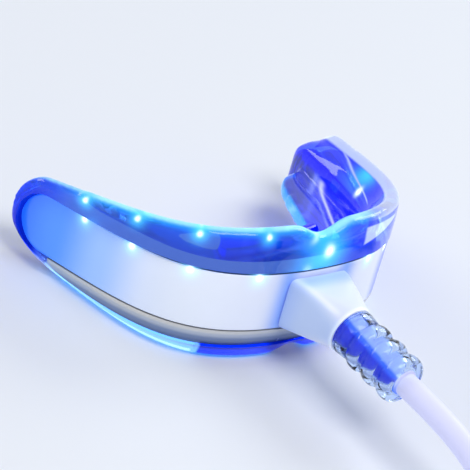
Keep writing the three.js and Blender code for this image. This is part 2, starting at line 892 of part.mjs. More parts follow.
function makeCoil() {
  const rings = coilRings();
  const outline = [];
  for (let side = 0; side < coilSides; side += 1) {
    const angle = 2 * Math.PI * (side + halfShare) / coilSides;
    outline.push(new THREE.Vector2(cordRadius * Math.cos(angle), cordRadius * Math.sin(angle)));
  }
  console.log('least gap of the coil to itself, mm:', leastGap(rings).toFixed(2));
  return skin(rings, outline, outline);
}

function leastGap(rings) {
  let least = Infinity;
  const apart = Math.round(coilSteps / 2);
  for (let a = 0; a < rings.length; a += 1) {
    for (let b = a + apart; b < rings.length; b += 1) {
      for (const p of rings[a]) {
        for (const q of rings[b]) {
          least = Math.min(least, p.distanceTo(q));
        }
      }
    }
  }
  return least;
}

// The tie: a flat loop round the coil's bundle, opposite the free stretch
function makeTie() {
  const innermost = coilOuterRadius - coilPitch * coilTurns / 2 - cordRadius;
  const outermost = coilOuterRadius + cordRadius;
  const width = outermost - innermost + clearance * 2;
  const height = coilPitch + cordDiameter + clearance * 2;
  const loop = roundedRect(width + tieThickness * 2, height + tieThickness * 2, tieRound + tieThickness);
  loop.holes.push(roundedRect(width, height, tieRound));
  const tie = barAlongY(loop, tieWidth, 0, 4);
  tie.rotateZ(Math.PI / 2);
  const across = coilCentre.y - (innermost + outermost) / 2;
  tie.translate(coilCentre.x + tieWidth / 2, across, coilBase + coilPitch / 2);
  return tie;
}

// The tail of cord from the coil's last turn down to the plug, and the plug pointing back along +Y
const tailStart = coilPath()[coilPath().length - 1].clone().add(new THREE.Vector3(0, clearance, 0));
const plugHeight = plugBodyHeight / 2;
const plugStart = tailStart.y + tailLength + clearance;

function makeTail() {
  const drop = tailStart.z - plugHeight;
  const count = 6;
  const points = [];
  for (let k = 0; k <= count; k += 1) {
    const share = k / count;
    const height = tailStart.z - drop * THREE.MathUtils.smoothstep(share, 0, 1);
    points.push(new THREE.Vector3(tailStart.x, tailStart.y + tailLength * share, height));
  }
  return tubeAlong(points, cordRadius, cordSides, 10);
}

function atPlug(geometry, from) {
  geometry.translate(tailStart.x, plugStart + from, plugHeight);
  return geometry;
}

function makePlugRelief() {
  const profile = [[0, 0], [plugReliefEndRadius, 0]];
  const step = plugReliefLength / (plugGrooveCount * 2 + 1);
  for (let k = 0; k < plugGrooveCount; k += 1) {
    const share = (2 * k + 1) / (plugGrooveCount * 2 + 1);
    const radius = plugReliefEndRadius + (plugReliefRadius - plugReliefEndRadius) * share;
    const from = step * (2 * k + 1);
    profile.push([radius, from]);
    profile.push([radius - plugGrooveDepth, from]);
    profile.push([radius - plugGrooveDepth, from + step]);
    profile.push([radius, from + step]);
  }
  profile.push([plugReliefRadius, plugReliefLength], [0, plugReliefLength]);
  return atPlug(latheAlongY(profile, 0, 0), 0);
}

const bodyFrom = plugReliefLength + clearance;
const shellFrom = bodyFrom + plugBodyLength - shellSeat;

function makePlugBody() {
  const shape = roundedRect(plugBodyWidth, plugBodyHeight, plugBodyRound);
  const body = barAlongY(shape, plugBodyLength, plugBodyChamfer, 4);
  const seat = new THREE.BoxGeometry(
    shellWidth + clearance * 2, shellSeat + clearance + cutOverrun, shellHeight + clearance * 2,
  );
  seat.translate(0, plugBodyLength - shellSeat - clearance + (shellSeat + clearance + cutOverrun) / 2, 0);
  return atPlug(cut(body, seat), bodyFrom);
}

function makePlugShell() {
  const shape = roundedRect(shellWidth, shellHeight, shellRound);
  shape.holes.push(roundedRect(shellWidth - shellWall * 2, shellHeight - shellWall * 2, shellRound - shellWall / 2));
  return atPlug(barAlongY(shape, shellLength, 0, 2), shellFrom);
}

const tongueTop = shellHeight / 2 - shellWall - clearance;

function makePlugTongue() {
  const tongue = new THREE.BoxGeometry(tongueWidth, tongueLength, tongueThickness);
  tongue.translate(0, tongueLength / 2, tongueTop - tongueThickness / 2);
  return atPlug(tongue, shellFrom);
}

function makePlugContact(index) {
  const contact = new THREE.BoxGeometry(contactWidth, contactLength, contactThickness);
  const x = contactPitch * (index - (contactCount - 1) / 2);
  const z = tongueTop - tongueThickness - contactSeat - contactThickness / 2;
  contact.translate(x, tongueLength - contactLength / 2 - contactSeat, z);
  return atPlug(contact, shellFrom);
}

// The whole device
const device = new THREE.Group();
const inBandFrame = new THREE.Group();
inBandFrame.rotation.copy(bandFrame.rotation);
inBandFrame.position.copy(bandFrame.position);
inBandFrame.add(
  piece('tray', makeTray(), clearSilicone),
  piece('front_cover', makeFrontCover(), whiteShell),
  piece('lower_bezel', bezelBody(0, 0), greyTrim),
  piece('lens_window', makeLensWindow(), clearLens),
  piece('led_board', makeLedBoard(), boardGreen),
  ...makeElectronics(),
);

const cable = new THREE.Group();
cable.add(
  piece('cable_neck', makeNeck(), whiteShell),
  piece('neck_seal', makeSeal(), rubberSeal),
  piece('wire_red', makeWire(1), redWire),
  piece('wire_black', makeWire(-1), blackWire),
  piece('cord_crimp', makeCrimp(), crimpMetal),
  piece('strain_core', makeStrainCore(), cordJacket),
  piece('ribbed_boot', makeBoot(), clearBoot),
);

const storedCord = new THREE.Group();
storedCord.add(
  piece('cord_stretch', makeCordStretch(), cordJacket),
  piece('cord_coil', makeCoil(), cordJacket),
  piece('coil_tie', makeTie(), tieRubber),
  piece('cord_tail', makeTail(), cordJacket),
  piece('plug_relief', makePlugRelief(), plugPlastic),
  piece('plug_body', makePlugBody(), plugPlastic),
  piece('plug_shell', makePlugShell(), shellSteel),
  piece('plug_tongue', makePlugTongue(), tonguePlastic),
);
for (let k = 0; k < contactCount; k += 1) {
  storedCord.add(piece(`plug_contact_${k + 1}`, makePlugContact(k), contactGold));
}

// The origin is under the middle of the tray, light unit and strain relief, at the surface
device.add(inBandFrame, cable);
device.updateMatrixWorld(true);
const footprint = new THREE.Box3().setFromObject(device, true);
device.add(storedCord);
device.position.y = -(footprint.min.y + footprint.max.y) / 2;
device.updateMatrixWorld(true);

export default device;
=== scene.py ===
import bpy
import math
import numpy as np
from mathutils import Matrix, Vector


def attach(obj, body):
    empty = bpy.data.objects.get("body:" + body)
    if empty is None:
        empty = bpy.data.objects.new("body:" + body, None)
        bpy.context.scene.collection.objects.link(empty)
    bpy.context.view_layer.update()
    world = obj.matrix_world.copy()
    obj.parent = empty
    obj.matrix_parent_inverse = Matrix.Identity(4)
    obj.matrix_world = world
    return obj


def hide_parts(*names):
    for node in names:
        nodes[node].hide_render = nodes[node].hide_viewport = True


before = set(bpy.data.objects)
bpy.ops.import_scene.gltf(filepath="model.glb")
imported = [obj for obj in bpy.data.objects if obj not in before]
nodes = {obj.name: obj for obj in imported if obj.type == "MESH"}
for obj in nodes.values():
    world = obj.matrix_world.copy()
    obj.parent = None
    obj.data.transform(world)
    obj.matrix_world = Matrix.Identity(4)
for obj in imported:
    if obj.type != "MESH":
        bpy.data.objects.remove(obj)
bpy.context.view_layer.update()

# A lit mouthpiece for whitening teeth: a clear blue silicone tray round a white light unit, with its cord.
# Sizes are in millimetres and are turned into metres where a point is placed. The arms run toward +Y.
MM = 0.001
FRONT_SHIFT = -8.318545
CLEARANCE = 0.3

# Arch of the tray's outer face
HALF_WIDTH = 34.2
DEPTH = 37.9
FRONT_REACH = HALF_WIDTH * 0.845
ARM_REACH = DEPTH * 0.617
ARM_FLARE = math.radians(17)

# Light unit
BAND_HEIGHT = 10.4
BAND_MIDDLE = BAND_HEIGHT / 2
LIFT_FRONT = 6.4
LIFT_TIP = 2.4
BAND_END_MARGIN = 1.8
BAND_TIP_INSET = 1.3
COVER_WALL = 1.2
COVER_DEPTH = 2.2
FLANGE = 1.0
UNIT_DEPTH = 4.0
BEZEL_DROP = 3.2
BEZEL_INSET = 0.9
BEZEL_WALL = 1.2

# Tray
RIM_HEIGHT_FRONT = 18.1
RIM_HEIGHT_TIP = 12.7
RIM_INSET_FRONT = 0.5
RIM_INSET_TIP = -1.1
RIM_THICKNESS = 2.8
RIM_ROUND = 1.2
FOOT_INSET_FRONT = 1.5
FOOT_INSET_TIP = 3.0
FOOT_WIDTH = 3.4
FOOT_ROUND = 0.7
TRAY_WALL = 5.2
WALL_LEAN = 0.3
UPPER_NOTCH = (2.0, 6.5)
LOWER_NOTCH = (1.3, 5.0)
TIP_THIN = 0.35
TIP_THIN_REACH = 4.0
TIP_PIVOT = 0.9
TIP_TOP_ROUND = 5.5
TIP_FOOT_ROUND = 11.0
PLATE_LOW = 4.5
PLATE_THICK = 2.5
RIDGE_INSET = 10.5
RIDGE_WALL = 2.0
RIDGE_HEIGHT = 3.6
RIDGE_HALF = HALF_WIDTH * 0.415
RIDGE_END = 1.4
PLATE_TOP = PLATE_LOW + PLATE_THICK
RIDGE_TOP = PLATE_TOP + RIDGE_HEIGHT
VOXEL = 0.33
BEZEL_HALF_SHARE = 0.85

# Neck, strain relief and cord
NECK_LENGTH = 9.2
NECK_ROOT = (6.2, 4.6)
NECK_ROOT_DROP = 0.8
NECK_MOUTH = 4.3
NECK_MOUTH_EDGE = 0.35
BOOT_SEAT = 2.6
CORE_SEAT = 4.6
CRIMP_LENGTH = 2.4
RELIEF_LENGTH = 13.5
RIB_PITCH = 3.75
RIB_RADIUS = 4.25
RIB_HALF = 1.35
RIB_VALLEY = 3.5
CORE_REAR = 3.0
CORE_END = 2.25
CORD_RADIUS = 2.0
COIL_OUTER = 29.3
COIL_TURNS = 6.5
COIL_PITCH = 4.5
COIL_STEPS = 24
COIL_BASE = 2.95
TAIL_LENGTH = 22.0
PLUG_HEIGHT = 3.9
PLUG_RELIEF_LENGTH = 9
PLUG_RELIEF_STEP = PLUG_RELIEF_LENGTH / 7
PLUG_BODY_LENGTH = 20
PLUG_BODY = (15, 7.8, 2.4)
PLUG_BODY_EDGE = 0.8
PLUG_SHELL = (12, 4.5, 0.6)
PLUG_BORE = (11.2, 3.7, 0.4)
PLUG_SHELL_LENGTH = 14.5
PLUG_SHELL_SEAT = 2.5
STRAP_ROUND = 2.25
STRAP_WIDTH = 6
STRAP_WALL = 0.5

tilt = math.asin((LIFT_FRONT - LIFT_TIP) / DEPTH)
neck_height = LIFT_FRONT + BAND_MIDDLE * math.cos(tilt) + 0.5
relief_end = -NECK_LENGTH - RELIEF_LENGTH


# Places
def place(x, y, z):
    return Vector((x * MM, (y + FRONT_SHIFT) * MM, z * MM))


def in_band(x, y, z):
    """A point of the light unit's own leaning frame."""
    c, s = math.cos(tilt), math.sin(tilt)
    return place(x, y * c + z * s, LIFT_FRONT - y * s + z * c)


curve_t = np.linspace(0, 1, 801)
curve_knots = np.array([
    (0, 0), (FRONT_REACH, 0),
    (HALF_WIDTH - ARM_REACH * math.sin(ARM_FLARE), DEPTH - ARM_REACH * math.cos(ARM_FLARE)),
    (HALF_WIDTH, DEPTH),
])
curve_weights = np.stack([
    (1 - curve_t) ** 3, 3 * (1 - curve_t) ** 2 * curve_t, 3 * (1 - curve_t) * curve_t ** 2, curve_t ** 3,
], 1)
curve_points = curve_weights @ curve_knots
curve_lengths = np.concatenate([[0], np.cumsum(np.linalg.norm(np.diff(curve_points, axis=0), axis=1))])
ARCH_LENGTH = float(curve_lengths[-1])
curve_tangents = np.gradient(curve_points, curve_lengths, axis=0)
BAND_END = ARCH_LENGTH - BAND_END_MARGIN


def arch_at(arc):
    """Place, inward direction and share of the depth at a length along the arch, positive on the +X arm."""
    side = -1 if arc < 0 else 1
    s = min(abs(arc), ARCH_LENGTH)
    x, y = (np.interp(s, curve_lengths, curve_points[:, k]) for k in (0, 1))
    tx, ty = (np.interp(s, curve_lengths, curve_tangents[:, k]) for k in (0, 1))
    size = math.hypot(tx, ty)
    return side * x, y, -side * ty / size, tx / size, y / DEPTH


def on_arch(arc, inset, height):
    x, y, nx, ny, _ = arch_at(arc)
    return in_band(x + nx * inset, y + ny * inset, height)


def blend_value(front, tip, share):
    return front + (tip - front) * share


def rounded_share(arc, end, reach):
    past = max(abs(arc) - (end - reach), 0) / reach
    return math.sqrt(max(1 - past * past, 0))


def arch_stations(end, reach, middle_count, end_count, sweep=0.97):
    straight = end - reach
    half = [straight * k / middle_count for k in range(middle_count + 1)]
    half += [straight + reach * math.sin(sweep * math.pi / 2 * k / end_count)
             for k in range(1, end_count + 1)]
    return [-s for s in reversed(half[1:])] + half


def quarter(count):
    """Angles from 0 to a right angle."""
    return [math.pi / 2 * k / (count - 1) for k in range(count)]


# Making
def deselect():
    if bpy.context.object and bpy.context.object.mode != "OBJECT":
        bpy.ops.object.mode_set(mode="OBJECT")
    bpy.ops.object.select_all(action="DESELECT")


def take(piece):
    deselect()
    piece.select_set(True)
    bpy.context.view_layer.objects.active = piece
    return piece


def named(name):
    piece = bpy.context.object
    piece.name = name
    piece.data.name = name
    return piece


def settle(piece):
    """Puts a piece's place into its mesh."""
    take(piece)
    bpy.ops.object.transform_apply(location=True, rotation=True, scale=True)
    return piece


def outward(piece):
    take(piece)
    bpy.ops.object.mode_set(mode="EDIT")
    bpy.ops.mesh.select_all(action="SELECT")
    bpy.ops.mesh.remove_doubles(threshold=2e-6)
    bpy.ops.mesh.normals_make_consistent(inside=False)
    bpy.ops.object.mode_set(mode="OBJECT")
    return piece


def cleaned(piece):
    """Closes up the hair-thin faces that carving or bevelling leaves, and drops pairs lying back to back."""
    take(piece)
    bpy.ops.object.mode_set(mode="EDIT")
    bpy.ops.mesh.select_all(action="SELECT")
    bpy.ops.mesh.quads_convert_to_tris()
    bpy.ops.mesh.dissolve_degenerate(threshold=0.01 * MM)
    bpy.ops.mesh.select_all(action="DESELECT")
    bpy.ops.mesh.select_mode(type="FACE")
    bpy.ops.object.mode_set(mode="OBJECT")
    first = {}
    for face in piece.data.polygons:
        corners = frozenset(face.vertices)
        if corners in first:
            face.select = first[corners].select = True
        first[corners] = face
    bpy.ops.object.mode_set(mode="EDIT")
    bpy.ops.mesh.delete(type="ONLY_FACE")
    bpy.ops.mesh.select_all(action="SELECT")
    bpy.ops.mesh.delete_loose(use_verts=True, use_edges=True, use_faces=False)
    bpy.ops.mesh.select_mode(type="VERT")
    bpy.ops.object.mode_set(mode="OBJECT")
    return piece


def smooth(piece, degrees=35):
    take(piece)
    bpy.ops.object.shade_smooth_by_angle(angle=math.radians(degrees))
    return piece


def laid_grid(name, rows):
    """A grid laid over rows of points, closed round each row, with both ends filled in."""
    deselect()
    count = len(rows[0])
    bpy.ops.mesh.primitive_grid_add(x_subdivisions=count, y_subdivisions=len(rows) - 1, size=1)
    piece = named(name)
    points = [tuple(p) for row in rows for p in list(row) + [row[0]]]
    piece.data.vertices.foreach_set("co", np.array(points, np.float32).ravel())
    piece.data.update()
    bpy.ops.object.mode_set(mode="EDIT")
    bpy.ops.mesh.select_all(action="SELECT")
    bpy.ops.mesh.remove_doubles(threshold=2e-6)
    bpy.ops.mesh.select_all(action="DESELECT")
    bpy.ops.mesh.select_mode(type="EDGE")
    bpy.ops.mesh.select_non_manifold()
    bpy.ops.mesh.fill_holes(sides=0)
    bpy.ops.mesh.select_mode(type="VERT")
    bpy.ops.object.mode_set(mode="OBJECT")
    return outward(piece)


def laid_along(name, arcs, outline):
    return laid_grid(name, [[on_arch(arc, i, h) for i, h in outline(arc)] for arc in arcs])


def changed(piece, kind, **settings):
    """Adds a modifier with these settings and applies it."""
    take(piece)
    bpy.ops.object.modifier_add(type=kind)
    change = piece.modifiers[-1]
    for label, value in settings.items():
        setattr(change, label, value)
    bpy.ops.object.modifier_apply(modifier=change.name)
    return piece


def carve(piece, tool, operation="DIFFERENCE"):
    changed(piece, "BOOLEAN", operation=operation, solver="EXACT", object=tool)
    bpy.data.objects.remove(tool)
    return piece


def bevelled(piece, width, segments=2, degrees=40):
    return changed(piece, "BEVEL", width=width * MM, segments=segments, limit_method="ANGLE",
                   angle_limit=math.radians(degrees), use_clamp_overlap=True)


def turned(name, profile, x=0.0, z=0.0, steps=64):
    """A turned piece along Y: the profile is a row of (radius, y) and is spun round the axis."""
    deselect()
    bpy.ops.mesh.primitive_circle_add(vertices=len(profile), radius=MM, fill_type="NOTHING")
    piece = named(name)
    for vertex, (radius, y) in zip(piece.data.vertices, profile):
        vertex.co = place(x + radius, y, z)
    bpy.ops.object.mode_set(mode="EDIT")
    bpy.ops.mesh.select_all(action="SELECT")
    bpy.ops.mesh.spin(steps=steps, angle=2 * math.pi, center=place(x, 0, z), axis=(0, 1, 0))
    bpy.ops.object.mode_set(mode="OBJECT")
    return outward(piece)


def tube(name, path, radius, round_steps, along_steps):
    """A round tube through a row of points, with closed ends."""
    curve = bpy.data.curves.new(name, "CURVE")
    curve.dimensions = "3D"
    curve.bevel_depth = radius * MM
    curve.bevel_resolution = round_steps
    curve.use_fill_caps = True
    curve.resolution_u = along_steps
    spline = curve.splines.new("BEZIER")
    spline.bezier_points.add(len(path) - 1)
    for knot, point in zip(spline.bezier_points, path):
        knot.co = point
        knot.handle_left_type = "AUTO"
        knot.handle_right_type = "AUTO"
    piece = bpy.data.objects.new(name, curve)
    bpy.context.scene.collection.objects.link(piece)
    take(piece)
    bpy.ops.object.convert(target="MESH")
    return smooth(bpy.context.object, 50)


# Camera, at the angle of the photograph
azimuth, elevation, roll = (math.radians(a) for a in (-49.78, 30.39, 21.23))
level_right = Vector((math.cos(azimuth), math.sin(azimuth), 0))
back = Vector((
    math.sin(azimuth) * math.cos(elevation), -math.cos(azimuth) * math.cos(elevation), math.sin(elevation),
))
level_up = back.cross(level_right)
right = level_right * math.cos(roll) + level_up * math.sin(roll)
up = level_up * math.cos(roll) - level_right * math.sin(roll)
aim = place(0, 19.6, 12) - right * (1.338 * MM) - up * (1.437 * MM)
camera_data = bpy.data.cameras.new("camera")
camera_data.lens = 200.1
camera_data.sensor_width = 36
camera_data.clip_start = 0.01
camera = bpy.data.objects.new("camera", camera_data)
bpy.context.scene.collection.objects.link(camera)
turn = Matrix((right, up, back)).transposed().to_4x4()
camera.matrix_world = Matrix.Translation(aim + back * 0.4311) @ turn
bpy.context.scene.camera = camera

# Cord: a free stretch from the strain relief, the stored coil, and a tail to the plug
stretch_route = [
    (0, 12.07), (4, 12.05), (8, 11.95), (12, 11.65), (16, 11.0), (20, 9.9), (24, 8.35),
    (28, 6.7), (32, 5.2), (36, 4.05), (40, 3.25), (44, 2.97), (48, 2.95),
]
route_start = relief_end - CLEARANCE
route_end = route_start - stretch_route[-1][0]
coil_x = COIL_OUTER
coil_y = route_end - CLEARANCE - 2 * CORD_RADIUS


def smoothstep(x, low, high):
    t = min(max((x - low) / (high - low), 0), 1)
    return t * t * (3 - 2 * t)


def coil_point(turn_number):
    middle = COIL_TURNS / 2
    radius = COIL_OUTER - COIL_PITCH * (middle - abs(turn_number - middle))
    climb = smoothstep(turn_number, middle - 0.25, middle + 0.25)
    angle = math.pi + 2 * math.pi * turn_number
    return (coil_x + radius * math.cos(angle), coil_y + radius * math.sin(angle),
            COIL_BASE + COIL_PITCH * climb)


cord_line = [(0, route_start - forward, height) for forward, height in stretch_route]
coil_count = round(COIL_TURNS * COIL_STEPS)
cord_line += [coil_point(COIL_TURNS * k / coil_count) for k in range(coil_count + 1)]
tail_x, tail_y, tail_z = cord_line[-1]
tail_start = tail_y + 2 * CORD_RADIUS + CLEARANCE
cord_line.append((tail_x, tail_y + 2 * CORD_RADIUS, tail_z))
for k in range(1, 7):
    share = k / 6
    cord_line.append((
        tail_x, tail_start + TAIL_LENGTH * share, tail_z - (tail_z - PLUG_HEIGHT) * smoothstep(share, 0, 1),
    ))
cord_path = [place(*p) for p in cord_line]

cord = tube("cord", cord_path, CORD_RADIUS, 6, 3)

# Tray of soft silicone: a wall with a rim and a foot, a bite plate and a ridge in one body
def floor_height(y):
    return y * math.tan(tilt) - LIFT_FRONT / math.cos(tilt)


def notch(arc, shape):
    depth, half_width = shape
    return depth * 0.5 * (1 + math.cos(math.pi * min(abs(arc) / half_width, 1)))


def rim_top(share):
    return blend_value(RIM_HEIGHT_FRONT, RIM_HEIGHT_TIP, share)


def wall_outline(arc):
    _, y, _, ny, share = arch_at(arc)
    full = rim_top(share)
    shrink_top = rounded_share(arc, ARCH_LENGTH, TIP_TOP_ROUND)
    shrink_foot = rounded_share(arc, ARCH_LENGTH, TIP_FOOT_ROUND)
    thin = TIP_THIN + (1 - TIP_THIN) * rounded_share(arc, ARCH_LENGTH, TIP_THIN_REACH)
    centre = (full + floor_height(y)) / 2

    def settled(inset):
        return TIP_PIVOT + (inset - TIP_PIVOT) * thin

    def level(height):
        return centre + (height - centre) * (shrink_top if height > centre else shrink_foot)

    def underside(inset):
        return level(floor_height(y + ny * settled(inset))) + notch(arc, LOWER_NOTCH)

    top = level(full) - notch(arc, UPPER_NOTCH)
    rim = blend_value(RIM_INSET_FRONT, RIM_INSET_TIP, share)
    foot = blend_value(FOOT_INSET_FRONT, FOOT_INSET_TIP, share)
    inner = TRAY_WALL + BAND_TIP_INSET * share
    edge, heel = RIM_ROUND * shrink_top, FOOT_ROUND * shrink_foot
    upper, lower = level((BAND_HEIGHT + full) / 2), level(floor_height(y) / 2)
    points = [(foot + FOOT_ROUND * (1 - math.sin(a)), underside(foot + FOOT_ROUND) + heel * (1 - math.cos(a)))
              for a in reversed(quarter(4))]
    points += [(foot + FOOT_WIDTH - FOOT_ROUND * (1 - math.sin(a)),
                underside(foot + FOOT_WIDTH - FOOT_ROUND) + heel * (1 - math.cos(a))) for a in quarter(4)]
    points += [(inner, lower), (inner, level(PLATE_LOW)), (inner, level(BAND_HEIGHT))]
    points.append(((inner + rim + RIM_THICKNESS) / 2, upper))
    points += [(rim + RIM_THICKNESS - RIM_ROUND * (1 - math.cos(a)), top - edge * (1 - math.sin(a)))
               for a in quarter(6)]
    points += [(rim + RIM_ROUND * (1 - math.sin(a)), top - edge * (1 - math.cos(a))) for a in quarter(6)]
    points += [(rim * WALL_LEAN, upper), (0, level(BAND_HEIGHT)), (0, level(0)), (foot * WALL_LEAN, lower)]
    return [(settled(inset), height) for inset, height in points]


tray = laid_along("silicone_tray", arch_stations(ARCH_LENGTH, TIP_FOOT_ROUND, 44, 18), wall_outline)


def bezier(a, b, c, d, count):
    t = np.linspace(0, 1, count)[:, None]
    a, b, c, d = (np.array(p, float) for p in (a, b, c, d))
    return (1 - t) ** 3 * a + 3 * (1 - t) ** 2 * t * b + 3 * (1 - t) * t * t * c + t ** 3 * d


def plate_outline():
    reach = TRAY_WALL - RIM_THICKNESS / 2
    end = DEPTH * 0.892
    wing, wing_start = HALF_WIDTH * 0.523, DEPTH * 0.739
    bend, bend_start = HALF_WIDTH * 0.406, DEPTH * 0.5
    outer = []
    for k in range(0, 200):
        x, y, nx, ny, _ = arch_at(ARCH_LENGTH * k / 200)
        if y + ny * reach > end:
            break
        if k % 4 == 0:
            outer.append((x + nx * reach, y + ny * reach))
    tip = (outer[-1][0] - 1.5, end)
    corner = (wing + 2.5, end)
    first = bezier(tip, (tip[0] - 3, end), corner, (wing, wing_start), 14)[:-1]
    front = 12.7
    second = bezier((bend, bend_start), (bend - 1.25, bend_start - 4), (HALF_WIDTH * 0.25, front),
                    (0, front), 16)
    half = [(outer[-1][0] + 0.3, end), *map(tuple, first), (wing, wing_start), *map(tuple, second)]
    loop = outer + half
    return loop + [(-x, y) for x, y in reversed(loop) if abs(x) > 1e-6]


outline = plate_outline()
deselect()
bpy.ops.mesh.primitive_circle_add(vertices=len(outline), radius=MM, fill_type="NGON")
plate = named("bite_plate")
for vertex, (x, y) in zip(plate.data.vertices, outline):
    vertex.co = in_band(x, y, PLATE_LOW)
bpy.ops.object.mode_set(mode="EDIT")
bpy.ops.mesh.select_all(action="SELECT")
lift = in_band(0, 0, PLATE_TOP) - in_band(0, 0, PLATE_LOW)
bpy.ops.mesh.extrude_region_move(TRANSFORM_OT_translate={"value": lift})
bpy.ops.object.mode_set(mode="OBJECT")
outward(plate)


def ridge_outline(arc):
    share = rounded_share(arc, RIDGE_HALF, RIDGE_END)
    top = PLATE_TOP + RIDGE_HEIGHT * share
    low = PLATE_LOW + PLATE_THICK / 2
    r = 0.6 * share
    inner = RIDGE_INSET + RIDGE_WALL
    return [(RIDGE_INSET, low), (inner, low), (inner, top - r), (inner - r, top), (RIDGE_INSET + r, top),
            (RIDGE_INSET, top - r)]


ridge = laid_along("ridge", arch_stations(RIDGE_HALF, RIDGE_END, 12, 6), ridge_outline)

# The three parts flow into each other with a small fillet, as moulded silicone does
take(tray)
plate.select_set(True)
ridge.select_set(True)
bpy.ops.object.join()
changed(tray, "REMESH", mode="VOXEL", voxel_size=VOXEL * MM)
changed(tray, "SMOOTH", factor=0.5, iterations=13)
arm_ends = tray.vertex_groups.new(name="arm_ends")
arm_ends_start = (DEPTH * 0.72 + FRONT_SHIFT) * MM
arm_ends.add([v.index for v in tray.data.vertices if v.co.y > arm_ends_start], 1.0, "REPLACE")
changed(tray, "SMOOTH", factor=0.5, iterations=30, vertex_group=arm_ends.name)


def band_outline(outer, inner, grow, edge=0.0):
    """Outline of the light unit's band at each arc, with its outer edges rounded."""
    def outline_at(arc):
        half_full = BAND_MIDDLE + grow
        share = rounded_share(arc, BAND_END + grow, half_full)
        half = half_full * share
        settle_in = BAND_TIP_INSET * arch_at(arc)[4]
        points = [(inner + settle_in, BAND_MIDDLE - half), (inner + settle_in, BAND_MIDDLE + half)]
        r = min(edge, half)
        for side in (1, -1):
            for a in quarter(5)[::side]:
                inset = outer + edge * (1 - math.sin(a))
                points.append((inset + settle_in, BAND_MIDDLE + side * (half - r * (1 - math.cos(a)))))
        return points
    return outline_at


def band_arcs(grow):
    return arch_stations(BAND_END + grow, BAND_MIDDLE + grow, 44, 14)


def plain_band(name, outer, inner, grow):
    def outline_at(arc):
        half = (BAND_MIDDLE + grow) * rounded_share(arc, BAND_END + grow, BAND_MIDDLE + grow)
        s = BAND_TIP_INSET * arch_at(arc)[4]
        return [(outer + s, BAND_MIDDLE - half), (inner + s, BAND_MIDDLE - half),
                (inner + s, BAND_MIDDLE + half), (outer + s, BAND_MIDDLE + half)]
    return laid_along(name, band_arcs(grow), outline_at)


bezel_half = ARCH_LENGTH * BEZEL_HALF_SHARE


def bezel_outline(outer, grow, gap=CLEARANCE):
    least = CLEARANCE + BEZEL_WALL / 2

    def outline_at(arc):
        along = min(abs(arc) / bezel_half, 1)
        drop = least + (BEZEL_DROP - least) * math.sqrt(max(1 - along ** 4, 0))
        s = BAND_TIP_INSET * arch_at(arc)[4]
        lean = BEZEL_INSET * drop / BEZEL_DROP
        return [(s + lean - outer, -drop - grow), (s + lean + BEZEL_WALL + grow, -drop - grow),
                (s + BEZEL_WALL + grow, grow - gap), (s - outer, grow - gap)]
    return outline_at


bezel_arcs = [bezel_half * math.sin(math.pi / 2 * k / 40) for k in range(-40, 41)]
carve(tray, plain_band("pocket", -2, UNIT_DEPTH + CLEARANCE, CLEARANCE))
carve(tray, laid_along("bezel_pocket", bezel_arcs, bezel_outline(2, CLEARANCE)))
outward(tray)
smooth(cleaned(tray), 32)
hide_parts("tray")
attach(tray, "tray")


def drilled(piece, radius, start, end, x=0.0, z=neck_height):
    """Takes a round hole along Y out of a piece."""
    deselect()
    bpy.ops.mesh.primitive_cylinder_add(
        vertices=64, radius=radius * MM, depth=(end - start) * MM,
        location=place(x, (start + end) / 2, z), rotation=(math.pi / 2, 0, 0),
    )
    return carve(piece, settle(named("drill")))


# Front cover of the light unit: a white band with softly rounded edges, open toward the teeth
cover = laid_along("white_band", band_arcs(0), band_outline(0, COVER_DEPTH, 0, 0.4))
carve(cover, plain_band("hollow", COVER_WALL, COVER_DEPTH + 0.1, -FLANGE))
drilled(cover, 2.4, -NECK_LENGTH, COVER_WALL + 2 * CLEARANCE)
outward(cover)
smooth(cover, 30)
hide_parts("front_cover")
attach(cover, "light_unit")

# Clear window toward the teeth
window = plain_band("clear_window", COVER_DEPTH + CLEARANCE, UNIT_DEPTH, 0)
carve(window, plain_band("hollow", COVER_DEPTH - 0.1, UNIT_DEPTH - 0.8, -FLANGE))
outward(window)
smooth(bevelled(window, 0.2), 30)
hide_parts("lens_window")
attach(window, "light_unit")

# Bevelled trim below the band; its grey is painted shade
bezel = laid_along("grey_bevel", bezel_arcs, bezel_outline(0, 0, CLEARANCE / 2))
bevelled(bezel, 0.15)
smooth(cleaned(bezel), 30)
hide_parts("lower_bezel")
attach(bezel, "light_unit")


# Cable neck: a horn, square where it stands on the band and round at its mouth
def neck_row(share, y, count=96):
    wide = 1 - share
    half_width = NECK_MOUTH + (NECK_ROOT[0] - NECK_MOUTH) * wide ** 1.6
    half_height = NECK_MOUTH + (NECK_ROOT[1] - NECK_MOUTH) * wide ** 1.3
    power = 1 / (1 + 4 * wide ** 1.6)
    row = []
    for k in range(count):
        a = 2 * math.pi * (k + 0.5) / count
        c, s = math.cos(a), math.sin(a)
        x = half_width * math.copysign(abs(c) ** power, c)
        z = half_height * math.copysign(abs(s) ** power, s) - NECK_ROOT_DROP * wide ** 1.3
        row.append(place(x, y, neck_height + z))
    return row


